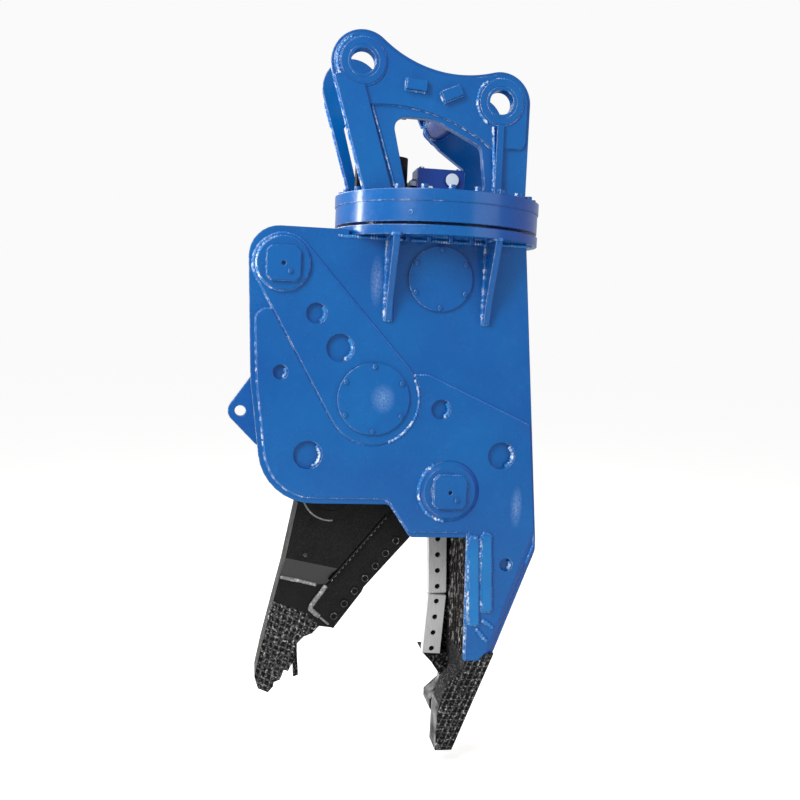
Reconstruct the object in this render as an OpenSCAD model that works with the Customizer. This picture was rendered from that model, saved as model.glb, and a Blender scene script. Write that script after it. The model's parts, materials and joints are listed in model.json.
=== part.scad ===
// Car dismantling shear for an excavator of about 20 tonnes.
// Origin: centre of the arm pin bore. +X towards the link pin, +Y away from
// the viewer across the two side plates, +Z up. Lengths are in millimetres.
// The jaw is drawn open.

/* [Head] */
// Radius of the arm pin and link pin bores
bore_r = 40; // [34:1:45]
// Link pin, distance to the right of the arm pin
link_dx = 463; // [440:1:490]
// Link pin, distance below the arm pin
link_drop = 95; // [80:1:110]
// Clear width between the two head plates
arm_gap = 330; // [310:1:345]
// Thickness of a head plate
head_plate_t = 30; // [24:1:36]
// Radius of the lug round the arm pin
arm_lug_r = 103; // [96:1:110]
// Radius of the lug round the link pin
link_lug_r = 101; // [94:1:106]
// Radius of the hollow between the lugs
saddle_r = 400; // [370:1:440]
// Radius of the collar on each lug
collar_r = 74; // [66:1:80]
// Height of the collar above the head plate
collar_t = 17; // [12:1:22]
// Wall of the bush in each lug
bush_wall = 11; // [8:1:13]
// Foot of the head plate, left end
head_foot_x = 18; // [8:1:30]
// Thickness of the doubler on each head plate
head_doubler_t = 10; // [6:1:14]
// Thickness of the slanted rib and the post
head_rib_t = 22; // [18:1:30]
// Width of the slanted rib
head_rib_w = 88; // [76:1:96]
// Width of the upright post
head_post_w = 24; // [18:1:30]
// Radius of the cross tube between the head plates
cross_tube_r = 44; // [36:1:50]
// Wall of the cross tube
cross_tube_wall = 10; // [8:1:14]
// Length of a stop block
stop_w = 68; // [56:1:76]
// Height of a stop block
stop_h = 35; // [28:1:40]
// Thickness of a stop block
stop_t = 22; // [14:1:28]

/* [Slewing ring] */
// Distance of the turning axis to the right of the arm pin
ring_x = 300; // [297:1:303]
// Top of the head's base plate, below the arm pin
base_top_drop = 408; // [400:1:420]
// Thickness of the base plate
base_t = 37; // [30:1:42]
// Height of the outer bearing ring
outer_ring_h = 66; // [60:1:72]
// Radius of the outer bearing ring
outer_ring_r = 353; // [350:1:356]
// Lip of the base plate and the lower flange outside the outer ring
flange_lip = 3; // [1:1:6]
// Gap between the outer ring and the lower flange
ring_gap = 10; // [7:1:14]
// Thickness of the lower flange
flange_t = 31; // [26:1:35]
// Distance from the outer ring's outside in to the circle of balls
race_inset = 52; // [50:1:54]
// Radius of a ball
ball_r = 12; // [10:0.5:13]
// Number of balls
ball_count = 36; // [24:1:40]
// Number of bolts through the base plate
ring_bolts = 24; // [18:1:30]
// Distance from the outer ring's outside in to its bolts
ring_bolt_inset = 20; // [18:1:22]
// Distance from the circle of balls in to the lower flange's bolts
flange_bolt_inset = 29; // [26:1:32]
// Distance from the circle of balls in to the gear's pitch circle
gear_inset = 71; // [69:1:74]
// Height of the pinion's teeth
pinion_h = 52; // [44:1:56]
// Radius of the pinion shaft
pinion_shaft_r = 22; // [18:1:25]

/* [Rotary joint and motor] */
// Width of the manifold block
manifold_w = 164; // [150:1:170]
// Depth of the manifold block
manifold_d = 110; // [96:1:120]
// Height of the manifold block
manifold_h = 108; // [96:1:116]
// Radius of the rotary joint's housing
swivel_r = 58; // [52:1:60]
// Radius of the rotary joint's core
swivel_core_r = 38; // [32:1:40]
// Radius of the slewing motor
motor_r = 56; // [50:1:62]
// Height of the slewing motor above its flange
motor_h = 122; // [100:1:140]
// Side of the motor's square flange
motor_flange_w = 150; // [140:1:160]
// Thickness of the motor's flange
motor_flange_t = 20; // [14:1:24]

/* [Body] */
// Width over the two side plates
body_w = 374; // [366:1:380]
// Thickness of a side plate
side_t = 32; // [28:1:36]
// Thickness of the doublers on the side plates
doubler_t = 10; // [8:1:14]
// Rim of side plate that shows round the lower doubler
rim_w = 22; // [18:1:28]
// Left edge at the top, from the arm pin
left_top_x = -350; // [-360:1:-340]
// Left edge at the lifting ear
left_mid_x = -328; // [-336:1:-320]
// Left edge above the lower corner
left_low_x = -300; // [-308:1:-292]
// Right edge below the flange
right_top_x = 579; // [572:1:590]
// Right edge at its widest, beside the jaw
right_low_x = 671; // [662:1:680]
// Height of the left corner above the flange's underside
shoulder_h = 16; // [10:1:20]
// Radius of the upper left corner
shoulder_r = 100; // [90:1:110]
// Radius of the lower left corner
heel_r = 185; // [170:1:190]
// Bottom edge over the moving jaw, below the arm pin
bottom_drop = 1447; // [1435:1:1455]
// Bottom edge over the fixed jaw's mouth, below the arm pin
mouth_drop = 1559; // [1552:1:1568]
// Thickness of the bent back plate and the front plate
shell_t = 20; // [16:1:26]
// Inset of the back and front plates from the side plates' edges
shell_inset = 6; // [4:1:10]
// Width of the chamfer along the fixed jaw's sloping edge
slope_chamfer = 42; // [32:1:46]
// Depth of that chamfer
slope_depth = 18; // [12:1:22]
// Thickness of a gusset under the flange
gusset_t = 22; // [16:1:26]
// Height of a gusset
gusset_h = 274; // [240:1:290]
// Reach of a gusset at its top
gusset_reach = 132; // [110:1:140]
// Reach of a gusset at its foot
gusset_foot = 16; // [10:1:24]

/* [Doublers] */
// Lower cover, to the right of the arm pin
main_cover_x = 79; // [74:1:84]
// Lower cover, below the arm pin
main_cover_drop = 1090; // [1084:1:1096]
// Width of the strut doubler outside the cylinder pin's boss
strut_pad = 11; // [8:1:13]
// Width of the strut doubler outside the lower cover
strut_foot_pad = 34; // [28:1:38]
// Top of the lower doubler at the left, below the arm pin
doubler_top_drop = 808; // [796:1:820]
// Top of the lower doubler beside the lower cover, below the arm pin
doubler_tab_drop = 1008; // [1000:1:1016]
// Top of the lower doubler at the right edge, below the arm pin
doubler_right_drop = 1167; // [1155:1:1180]

/* [Covers and plugs] */
// Upper cover, below the arm pin
top_cover_drop = 682; // [678:1:686]
// Radius of the upper cover
top_cover_r = 109; // [102:1:114]
// Radius of the lower cover
main_cover_r = 121; // [114:1:126]
// Thickness of a cover
cover_t = 9; // [6:1:12]
// Width of a cover's seat on the plate
cover_seat = 24; // [20:1:30]
// Radius of the largest plug recesses
plug_r = 47; // [42:1:50]
// Depth of a plug recess below the doubler's face
plug_depth = 17; // [14:1:22]

/* [Lifting ear] */
// Ear's hole, to the left of the arm pin
ear_x = -359; // [-364:1:-356]
// Ear's hole, below the arm pin
ear_drop = 1160; // [1150:1:1170]
// Half of the ear's height at the back plate
ear_flare = 118; // [108:1:124]
// Radius of the ear's hole
ear_hole_r = 19; // [14:1:22]
// Radius of the ear's tip
ear_r = 42; // [36:1:46]
// Thickness of the ear
ear_t = 32; // [24:1:40]

/* [Main pivot] */
// Main pivot, to the right of the arm pin
pivot_x = 350; // [346:1:354]
// Main pivot, below the arm pin
pivot_drop = 1397; // [1392:1:1402]
// Radius of the main pivot pin
pivot_r = 65; // [58:1:68]
// Wall of the jaw's pivot bush
pivot_bush_wall = 14; // [10:1:16]
// Radius of the pivot boss
pivot_boss_r = 88; // [84:1:92]
// Extra radius of the boss's weld at the plate
pivot_weld = 17; // [10:1:20]
// Height of the pivot boss
pivot_boss_t = 16; // [12:1:22]
// Side of a square pin keeper
keeper_w = 112; // [104:1:116]
// Thickness of a pin keeper
keeper_t = 15; // [12:1:20]
// Thickness of the thrust washers beside the jaw
washer_t = 5; // [4:0.5:7]

/* [Cylinder] */
// Cylinder pin, to the left of the arm pin
cyl_pin_x = -233; // [-237:1:-229]
// Cylinder pin, below the arm pin
cyl_pin_drop = 658; // [654:1:664]
// Radius of the cylinder pin
cyl_pin_r = 45; // [40:1:48]
// Radius of the boss round the cylinder pin
cyl_boss_r = 86; // [80:1:90]
// Outer radius of the barrel
barrel_r = 92; // [86:1:96]
// Bore radius of the barrel
barrel_bore_r = 75; // [70:1:78]
// Width of the tail eye
tail_w = 112; // [100:1:120]
// Distance from the cylinder pin to the barrel's open end
barrel_len = 570; // [560:1:600]
// Radius of the piston rod
rod_r = 50; // [44:1:54]
// Outer radius of the rod eye and the tail eye
eye_r = 80; // [78:1:84]
// Width of the rod eye
eye_w = 100; // [90:1:106]
// Play between the rod eye and the sides of its slot
slot_play = 3; // [1:0.5:5]
// Play of the rod eye round its pin
eye_play = 15; // [14:0.5:16]
// Radius of the rod pin
rod_pin_r = 40; // [36:1:42]

/* [Fixed jaw] */
// Left edge of the near cheek at its top
cheek_top_x = 427; // [422:1:432]
// Left edge of the near cheek at its foot
cheek_foot_x = 436; // [430:1:440]
// Foot of the near cheek, below the arm pin
cheek_foot_drop = 1990; // [1980:1:2000]
// Thickness of the fixed blade
blade_t = 40; // [34:1:44]
// Width of the fixed blade
blade_w = 66; // [60:1:70]
// Cutting plane, away from the middle
cut_y = 76; // [72:1:80]
// Play between the two blades
cut_play = 0.5; // [0.4:0.1:1]
// Thickness of the ridged wear liner
liner_t = 12; // [8:1:16]
// Radius of a ridge on the wear liner
ridge_r = 7; // [5:0.5:9]
// Number of ridges on the wear liner
ridges = 7; // [5:1:9]
// Gap from bolt to bolt in the fixed blade
blade_bolt_gap = 60; // [55:1:62]
// Width of the outer wear bars
bar_w = 33; // [26:1:38]
// Thickness of the wear bars
bar_t = 12; // [8:1:16]
// Point of the fixed tip, below the arm pin
tip_drop = 2308; // [2290:1:2330]
// Width of the fixed tip at its point
tip_w = 58; // [48:1:64]

/* [Moving jaw] */
// Reach of the moving jaw, on which its outline's shares are drawn
jaw_reach = 950; // [935:1:956]
// Rod pin, to the left of the main pivot
rod_pin_dx = 390; // [386:1:394]
// Rod pin, below the main pivot
rod_pin_dz = 26; // [20:1:32]
// Radius of the jaw round the rod pin
heel_lobe_r = 122; // [118:1:126]
// Radius of the raised boss round the rod pin
heel_boss_r = 96; // [90:1:100]
// Radius of the jaw's pivot hub
hub_r = 138; // [132:1:140]
// Outer face of the thick cheeks, away from the middle
jaw_cheek_y = 96; // [90:1:100]
// Near face of the jaw's thinner part, away from the middle
jaw_near_y = 70; // [66:1:74]
// Thickness of the moving blade
jaw_blade_t = 38; // [32:1:42]
// Width of the moving blade
jaw_blade_w = 84; // [76:1:90]
// Number of bolts in the moving blades
jaw_blade_bolts = 7; // [7]

/* [Fasteners] */
// Shank radius of the ring bolts
bolt_r = 7; // [6:0.5:9]
// Head radius of the ring bolts
bolt_head_r = 12; // [10:0.5:14]
// Head height of the ring bolts
bolt_head_h = 16; // [12:1:20]
// Head radius of the cover bolts
cover_bolt_r = 9; // [7:0.5:11]
// Head height of the cover bolts
cover_bolt_h = 6; // [4:0.5:8]
// Shank radius of the blade bolts
blade_bolt_r = 10; // [8:0.5:11]
// Head radius of the blade bolts
blade_head_r = 14; // [12:0.5:15]

/* [Hidden] */

paint = "#1b69b4";
paint_dark = "#16508c";
charcoal = "#262a28";
hardfacing = "#1c1c1d";
ground_steel = "#b4b4b2";
machined = "#8d9093";

near = -1;
far = 1;
over = 1;
fit = 0.05;
fine = 96;
arc_steps = 8;
full_turn = 360;
seat_gap = 0.3;

// Radii of the slewing ring, from the outside in
flange_r = outer_ring_r + flange_lip;
ring_bolt_r = outer_ring_r - ring_bolt_inset;
race_r = outer_ring_r - race_inset;
flange_bolt_r = race_r - flange_bolt_inset;

// Levels, from the top down
base_top_z = -base_top_drop;
base_low_z = base_top_z - base_t;
outer_low_z = base_low_z - outer_ring_h;
flange_top_z = outer_low_z - ring_gap;
flange_low_z = flange_top_z - flange_t;
body_top_z = flange_low_z + shoulder_h;
race_z = base_low_z - outer_ring_h / 2;

// Layers across the width
head_in = arm_gap / 2;
head_out = head_in + head_plate_t;
side_out = body_w / 2;
side_in = side_out - side_t;
doubler_out = side_out + doubler_t;
carrier_y = cut_y + blade_t;

// Pin places as [x, z]
arm_pin = [0, 0];
link_pin = [link_dx, -link_drop];
pivot = [pivot_x, -pivot_drop];
cyl_pin = [cyl_pin_x, -cyl_pin_drop];
rod_pin_at = pivot + [-rod_pin_dx, -rod_pin_dz];
cyl_axis = rod_pin_at - cyl_pin;
cyl_len = norm(cyl_axis);
cyl_tilt = atan2(cyl_axis[0], -cyl_axis[1]);

// A unit vector, and a vector turned a quarter turn
function unit(v) = v / norm(v);
function left_of(v) = [-v[1], v[0]];
function polar(r, a) = [r * cos(a), r * sin(a)];
function heading(v) = atan2(v[1], v[0]);

// The arc that rounds corner c between p and n with radius r
function corner_arc(p, c, n, r) =
    r <= 0 ? [c] :
    let(u = unit(p - c), w = unit(n - c), half = acos(u * w) / 2,
        centre = c + unit(u + w) * r / sin(half),
        a0 = heading(c + u * r / tan(half) - centre),
        a1 = heading(c + w * r / tan(half) - centre),
        sweep = (a1 - a0 + 540) % 360 - 180)
    [for (i = [0:arc_steps]) centre + polar(r, a0 + sweep * i / arc_steps)];

// An outline from corners written [x, z, radius]
function rounded(c) =
    let(n = len(c))
    [for (i = [0:n - 1])
        let(p = c[(i + n - 1) % n], q = c[i], s = c[(i + 1) % n])
        each corner_arc([p[0], p[1]], [q[0], q[1]], [s[0], s[1]], q[2])];

// Points along an arc round c from one angle to another
function arc(c, r, from, to) =
    [for (i = [0:3 * arc_steps]) c + polar(r, from + (to - from) * i / (3 * arc_steps))];

// The angle at which the left-hand outer tangent touches both circles
function tangent_angle(c1, r1, c2, r2) = heading(c2 - c1) + acos((r1 - r2) / norm(c2 - c1));

// A band round two circles of different sizes
function teardrop(c1, r1, c2, r2) =
    let(a = heading(c2 - c1), t = tangent_angle(c1, r1, c2, r2))
    concat(arc(c1, r1, t, 2 * a - t + full_turn), arc(c2, r2, 2 * a - t, t));

// Where two circles round p and q with radii a and b cross, to the left of p to q
function crossing(p, a, q, b) =
    let(d = norm(q - p), s = (a * a - b * b + d * d) / (2 * d), h = sqrt(a * a - s * s))
    p + unit(q - p) * s + left_of(unit(q - p)) * h;

// A flat outline in X and Z made into a plate from y_in outwards on one side
module slab(side, y_in, t) {
    translate([0, side > 0 ? y_in + t : -y_in, 0]) rotate([90, 0, 0]) linear_extrude(t) children();
}

// A flat outline made into a plate from y0 to y1
module across(y0, y1) {
    translate([0, y1, 0]) rotate([90, 0, 0]) linear_extrude(y1 - y0) children();
}

// A round bar across the width at [x, z], from y0 to y1
module bar_y(at, r, y0, y1) {
    translate([at[0], y1, at[1]]) rotate([90, 0, 0]) cylinder(r = r, h = y1 - y0, $fn = fine);
}

// A ring across the width
module ring_y(at, r_out, r_in, y0, y1) {
    across(y0, y1) translate(at) difference() {
        circle(r_out, $fn = fine);
        circle(r_in, $fn = fine);
    }
}

// The same thing on both sides of the middle
module both_sides() {
    children();
    mirror([0, 1, 0]) children();
}

// A flat disc at p
module disc(p, r) {
    translate(p) circle(r, $fn = fine);
}

// A hexagon-headed bolt standing on z = 0, with its shank below
module hex_bolt(shank_r, shank_len, head_r, head_h) {
    cylinder(r = head_r, h = head_h, $fn = 6);
    translate([0, 0, -shank_len]) cylinder(r = shank_r, h = shank_len + head_h / 2, $fn = 32);
}

// Copies round the turning axis
module round_ring(r, count) {
    for (i = [0:count - 1])
        translate([ring_x, 0, 0]) rotate([0, 0, i * full_turn / count]) translate([r, 0, 0]) children();
}

// Head: saddle and outline
saddle_centre = crossing(arm_pin, saddle_r + arm_lug_r, link_pin, saddle_r + link_lug_r);
head_right_x = link_dx + link_lug_r;
head_foot = [head_foot_x, base_top_z];
head_left_touch = let(d = norm(head_foot), a = heading(head_foot)) polar(arm_lug_r, a - acos(arm_lug_r / d));
near_window_shares = [
    [0.22, 0.4, 0.08], [0.52, 0.4, 0.3], [0.875, 0.595, 0.06], [0.92, 0.965, 0.06], [0.34, 0.965, 0]
];
far_window_shares = [
    [-0.056, 0.314, 0.05], [0.238, 0.196, 0.1], [0.596, 0.191, 0.03], [0.596, 0.343, 0.04],
    [0.721, 0.48, 0.04], [0.931, 0.645, 0.05], [0.92, 0.965, 0.06], [0.102, 0.965, 0.03]
];
function head_window(side) =
    [for (c = side == near ? near_window_shares : far_window_shares)
        [c[0] * link_dx, c[1] * base_top_z, c[2] * link_dx]];

module head_outline(inset = 0) {
    polygon(concat(
        arc(arm_pin, arm_lug_r - inset, heading(head_left_touch) + full_turn, heading(saddle_centre)),
        arc(saddle_centre, saddle_r + inset,
            heading(arm_pin - saddle_centre), heading(link_pin - saddle_centre)),
        arc(link_pin, link_lug_r - inset, heading(saddle_centre - link_pin), 0),
        [[head_right_x - inset, base_top_z], head_foot + [inset, 0]]));
}

module head_side_plate(side) {
    color(paint) slab(side, head_in, head_plate_t) difference() {
        head_outline();
        polygon(rounded(head_window(side)));
        disc(arm_pin, bore_r + bush_wall);
        disc(link_pin, bore_r + bush_wall);
    }
}

module head_side_plate_near() {
    head_side_plate(near);
}

module head_side_plate_far() {
    head_side_plate(far);
}

// Head: slanted rib under the arm lug and post under the link lug
rib_run = unit(head_foot - head_left_touch);
far_rib_share = 0.34;
function rib_w(side) = side == near ? head_rib_w : far_rib_share * head_rib_w;
rib_head = head_left_touch + rib_run * 0.2 * arm_lug_r;
post_x = link_dx;

module head_rib_outline(side) {
    difference() {
        polygon([rib_head, head_foot, head_foot + [rib_w(side) / left_of(rib_run)[0], 0],
            rib_head + left_of(rib_run) * rib_w(side)]);
        disc(arm_pin, collar_r);
    }
}

module head_post_outline() {
    difference() {
        polygon([[post_x - head_post_w / 2, link_pin[1]], [post_x + head_post_w / 2, link_pin[1]],
            [post_x + head_post_w / 2, base_top_z], [post_x - head_post_w / 2, base_top_z]]);
        disc(link_pin, collar_r);
    }
}

module head_ribs(side) {
    color(paint) slab(side, head_out, head_rib_t) {
        head_rib_outline(side);
        head_post_outline();
    }
}

module head_ribs_near() {
    head_ribs(near);
}

module head_ribs_far() {
    head_ribs(far);
}

// Head: the doubler round both lugs, hollowed below by an arch
arch_r = 1.21 * link_dx;
arch_centre = [0.205 * link_dx, 0.316 * base_top_z - arch_r];
doubler_low_z = 0.595 * base_top_z;

module head_doubler(side) {
    edge = rim_w / 2;
    corner_r = 1.2 * rim_w;
    color(paint) slab(side, head_out, head_doubler_t) difference() {
        head_outline(edge);
        disc(arch_centre, arch_r);
        polygon(rounded(head_window(side)));
        translate([post_x, base_top_z]) square([arch_r, doubler_low_z - base_top_z]);
        translate([head_right_x - edge - corner_r, doubler_low_z - over]) difference() {
            square([corner_r + over, corner_r + over]);
            translate([0, corner_r + over]) circle(corner_r, $fn = fine);
        }
        head_rib_outline(side);
        head_post_outline();
        disc(arm_pin, collar_r);
        disc(link_pin, collar_r);
    }
}

module head_doubler_near() {
    head_doubler(near);
}

module head_doubler_far() {
    head_doubler(far);
}

module lug_collars() {
    color(paint) both_sides() for (at = [arm_pin, link_pin])
        ring_y(at, collar_r, bore_r + bush_wall, head_out, head_out + collar_t);
}

module lug_bushes() {
    color(machined) both_sides() for (at = [arm_pin, link_pin])
        ring_y(at, bore_r + bush_wall, bore_r, head_in, head_out + collar_t);
}

cross_tube_at = [0.698 * link_dx, 0.287 * base_top_z];

module head_cross_tube() {
    color(paint) ring_y(cross_tube_at, cross_tube_r, cross_tube_r - cross_tube_wall, -head_in, head_in);
}

// Stop blocks on the doublers, each as a place in shares of the link pin's, and a turn
stop_shares = [[0.38, 0.67, -4], [0.635, 0.86, 25]];

module link_stop_blocks() {
    color(paint_dark) both_sides() slab(near, head_out + head_doubler_t, stop_t)
        for (s = stop_shares)
            translate([s[0] * link_dx, -s[1] * link_drop]) rotate(s[2])
                square([stop_w, stop_h], center = true);
}

// Slewing ring: gear sizes
ring_teeth = 46;
pinion_teeth = 13;
pitch_r = race_r - gear_inset;
gear_module = 2 * pitch_r / ring_teeth;
gear_run = gear_module * (ring_teeth - pinion_teeth) / 2;
pinion_turn = ring_teeth / 2 * full_turn / ring_teeth;
race_play = 0.75;
ball_play = 0.2;
bolt_grip = 4 * bolt_r;

// At the pinion's place, turned to mesh with the ring gear
module at_pinion(z) {
    translate([ring_x, 0, z]) rotate([0, 0, pinion_turn]) translate([gear_run, 0, 0]) children();
}

// Ring bolts are left out where a head plate or a rib stands
ring_bolt_phase = 0.17;
plates_mid = (head_in + head_out + head_rib_t) / 2;
ring_bolt_places = [
    for (i = [0:ring_bolts - 1])
        let(p = polar(ring_bolt_r, (i - ring_bolt_phase) * full_turn / ring_bolts) + [ring_x, 0])
        if (p[0] < head_foot_x - bolt_head_r - over || p[0] > head_right_x + bolt_head_r
            || abs(abs(p[1]) - plates_mid) > plates_mid - head_in + bolt_head_r) p];

module round_ring_bolts() {
    for (p = ring_bolt_places) translate([p[0], p[1], 0]) children();
}

module head_base_plate() {
    color(paint) difference() {
        translate([ring_x, 0, base_low_z]) cylinder(r = flange_r, h = base_t, $fn = fine);
        translate([ring_x, 0, base_low_z - over]) cylinder(r = swivel_r, h = base_t + 2 * over, $fn = fine);
        at_pinion(base_low_z - over) cylinder(r = motor_r, h = base_t + 2 * over, $fn = fine);
        round_ring_bolts()
            translate([0, 0, base_low_z - over]) cylinder(r = bolt_r, h = base_t + 2 * over, $fn = 32);
    }
}

module head_ring_bolts() {
    color(paint) round_ring_bolts()
        translate([0, 0, base_top_z + fit / 2]) hex_bolt(bolt_r, base_t + bolt_grip, bolt_head_r, bolt_head_h);
}

// The round groove for the balls
module race_groove() {
    translate([ring_x, 0, race_z]) rotate_extrude($fn = fine)
        translate([race_r, 0]) circle(ball_r + ball_play, $fn = 48);
}

module bearing_outer_ring() {
    color(paint) difference() {
        translate([ring_x, 0, outer_low_z]) cylinder(r = outer_ring_r, h = outer_ring_h, $fn = fine);
        translate([ring_x, 0, outer_low_z - over])
            cylinder(r = race_r + race_play, h = outer_ring_h + 2 * over, $fn = fine);
        race_groove();
        round_ring_bolts()
            translate([0, 0, base_low_z - bolt_grip]) cylinder(r = bolt_r, h = bolt_grip + over, $fn = 32);
    }
}

module bearing_balls() {
    color(ground_steel) round_ring(race_r, ball_count) translate([0, 0, race_z]) sphere(r = ball_r, $fn = 32);
}

// Outline of a gear whose teeth point out from r_root to r_tip; widths are shares of the pitch
module gear_outline(teeth, r_root, r_tip, root_share, tip_share) {
    step = 360 / teeth;
    polygon([for (i = [0:teeth - 1]) each [
        polar(r_root, (i - root_share / 2) * step), polar(r_tip, (i - tip_share / 2) * step),
        polar(r_tip, (i + tip_share / 2) * step), polar(r_root, (i + root_share / 2) * step)]]);
}

// The hollow of the ring gear is an outline whose teeth are the gear's gaps
module bearing_inner_ring() {
    inner_h = base_low_z - flange_top_z - ring_gap / 3;
    color(machined) difference() {
        translate([ring_x, 0, flange_top_z]) linear_extrude(inner_h) difference() {
            circle(race_r - race_play, $fn = fine);
            gear_outline(ring_teeth, pitch_r - 0.8 * gear_module, pitch_r + 1.1 * gear_module, 0.74, 0.4);
        }
        race_groove();
        round_flange() translate([0, 0, flange_top_z - over])
            cylinder(r = bolt_r, h = bolt_grip + over, $fn = 32);
    }
}

module slew_pinion() {
    color(machined) {
        at_pinion(flange_top_z + ring_gap) linear_extrude(pinion_h)
            gear_outline(pinion_teeth, 5.4 * gear_module, 7.3 * gear_module, 0.58, 0.24);
        at_pinion(flange_top_z + ring_gap)
            cylinder(r = pinion_shaft_r, h = base_top_z - flange_top_z - ring_gap + motor_flange_t,
                $fn = fine);
    }
}

// Flange bolts are left out where a side plate or a gusset stands
gusset_xs = [0.39 * ring_x, 1.503 * ring_x];
flange_bolt_places = [
    for (i = [0:ring_bolts - 1])
        let(p = polar(flange_bolt_r, i * 360 / ring_bolts) + [ring_x, 0],
            plate_off = abs(abs(p[1]) - (side_in + side_out) / 2) - side_t / 2,
            rib_off = min([for (x = gusset_xs) abs(p[0] - x)]) - gusset_t / 2,
            front_off = abs(p[0] - right_top_x + shell_inset + shell_t / 2) - shell_t / 2)
        if (min(plate_off, abs(p[1]) < side_in ? front_off : rib_off) > bolt_head_r + over) p];

module round_flange() {
    for (p = flange_bolt_places) translate([p[0], p[1], 0]) children();
}

module lower_flange() {
    color(paint) difference() {
        translate([ring_x, 0, flange_low_z]) cylinder(r = flange_r, h = flange_t, $fn = fine);
        translate([ring_x, 0, flange_low_z - over])
            cylinder(r = swivel_core_r, h = flange_t + 2 * over, $fn = fine);
        round_flange() translate([0, 0, flange_low_z - over])
            cylinder(r = bolt_r, h = flange_t + 2 * over, $fn = 32);
    }
}

module lower_flange_bolts() {
    color(paint) round_flange() translate([0, 0, flange_low_z - fit / 2]) rotate([180, 0, 0])
        hex_bolt(bolt_r, flange_t + bolt_grip, bolt_head_r, bolt_head_h);
}

// Rotary joint: the housing hangs from the head and the core stands on the flange
swivel_low_z = outer_low_z + 0.15 * outer_ring_h;
core_collar_t = 0.6 * bolt_head_h + fit;

module swivel_housing() {
    color(paint_dark) difference() {
        union() {
            translate([ring_x - manifold_w / 2, -manifold_d / 2, base_top_z])
                cube([manifold_w, manifold_d, manifold_h]);
            translate([ring_x, 0, swivel_low_z])
                cylinder(r = swivel_r, h = base_top_z - swivel_low_z + over, $fn = fine);
        }
        translate([ring_x, 0, swivel_low_z - over])
            cylinder(r = swivel_core_r + fit, h = base_top_z - swivel_low_z + over, $fn = fine);
    }
}

module swivel_core() {
    core_low_z = flange_low_z - flange_t;
    color(machined) {
        translate([ring_x, 0, core_low_z])
            cylinder(r = swivel_core_r, h = base_low_z - core_low_z + 0.4 * base_t, $fn = fine);
        translate([ring_x, 0, flange_top_z]) cylinder(r = 2 * swivel_core_r, h = core_collar_t, $fn = fine);
    }
}

// A screwed fitting standing on z = 0
module fitting(r, l) {
    difference() {
        union() {
            cylinder(r = r, h = l, $fn = 6);
            cylinder(r = 0.7 * r, h = 1.4 * l, $fn = 48);
        }
        translate([0, 0, l]) cylinder(r = 0.45 * r, h = l, $fn = 48);
    }
}

// On the manifold: round caps and fittings on both long faces, fittings at the left and bolts on top
module hose_fittings() {
    fitting_r = 0.15 * manifold_h;
    fitting_l = 0.14 * manifold_h;
    color(machined) {
        both_sides() {
            translate([ring_x + 0.23 * manifold_w, manifold_d / 2, base_top_z + 0.66 * manifold_h])
                rotate([-90, 0, 0]) cylinder(r = 1.4 * fitting_r, h = fitting_l, $fn = fine);
            translate([ring_x - 0.24 * manifold_w, manifold_d / 2, base_top_z + 0.3 * manifold_h])
                rotate([-90, 0, 0]) fitting(fitting_r, fitting_l);
            translate([ring_x - manifold_w / 2, 0.25 * manifold_d, base_top_z + 0.52 * manifold_h])
                rotate([0, -90, 0]) fitting(fitting_r, fitting_l);
            for (k = [-1, 1])
                translate([ring_x + k * 0.4 * manifold_w, 0.36 * manifold_d, base_top_z + manifold_h])
                    cylinder(r = cover_bolt_r, h = cover_bolt_h, $fn = 6);
        }
    }
}

// The slewing motor, with a port block on its outer side
module slew_motor() {
    port_r = 0.2 * motor_r;
    block_h = 1.1 * motor_h;
    color(charcoal) difference() {
        union() {
            at_pinion(base_low_z) cylinder(r = motor_r, h = base_t + motor_flange_t + motor_h, $fn = fine);
            at_pinion(base_top_z) linear_extrude(motor_flange_t) intersection() {
                square([motor_flange_w, motor_flange_w], center = true);
                rotate(45) square([1.25 * motor_flange_w, 1.25 * motor_flange_w], center = true);
            }
            at_pinion(base_top_z + 1.5 * motor_flange_t) translate([0, -0.6 * motor_r, 0])
                cube([2.2 * motor_r, 1.2 * motor_r, block_h]);
            at_pinion(base_top_z + 1.5 * motor_flange_t + 0.6 * block_h) for (k = [-1, 1])
                translate([1.7 * motor_r, 0, k * 0.2 * block_h]) rotate([90, 0, 0])
                    cylinder(r = port_r, h = 0.6 * motor_r + port_r, $fn = 48);
        }
        at_pinion(base_low_z - over)
            cylinder(r = pinion_shaft_r + fit, h = base_t + 1.6 * motor_flange_t + over, $fn = fine);
    }
}

// Body: heights and places on the left edge
heel_z = 1.06 * heel_r - bottom_drop;
shoulder_z = body_top_z - shoulder_r;
left_mid_z = shoulder_z + 0.66 * (heel_z - shoulder_z);
left_run = [[heel_z, left_low_x], [left_mid_z, left_mid_x], [shoulder_z, left_top_x]];
right_run = [[-mouth_drop - 2 * rim_w, right_low_x], [flange_low_z, right_top_x]];
function left_x(z) = lookup(z, left_run);
function right_x(z) = lookup(z, right_run);
heel_x = left_low_x - (left_mid_x - left_low_x) * (heel_z + bottom_drop) / (left_mid_z - heel_z);
slant_foot = [0.64 * pivot_x, -mouth_drop];
slant_head = [0.42 * pivot_x, -bottom_drop];
slant_slip = tan((90 - heading(slant_head - slant_foot) + 90) / 2 - 45);
notch_x = ring_x - sqrt(pow(flange_r, 2) - pow(side_in, 2)) - over;
widest = [right_low_x, -mouth_drop - 2 * rim_w];
foot_right = [1.535 * pivot_x, -cheek_foot_drop + 1.1 * rim_w];
foot_step = foot_right - [1.5 * rim_w, 0];
foot_left = [cheek_foot_x, -cheek_foot_drop];
foot_mid = foot_left + [2.1 * rim_w, 0];
cheek_head = [cheek_top_x, -mouth_drop];
function cheek_x(z) = lookup(z, [[-cheek_foot_drop, cheek_foot_x], [-mouth_drop, cheek_top_x]]);

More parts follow.
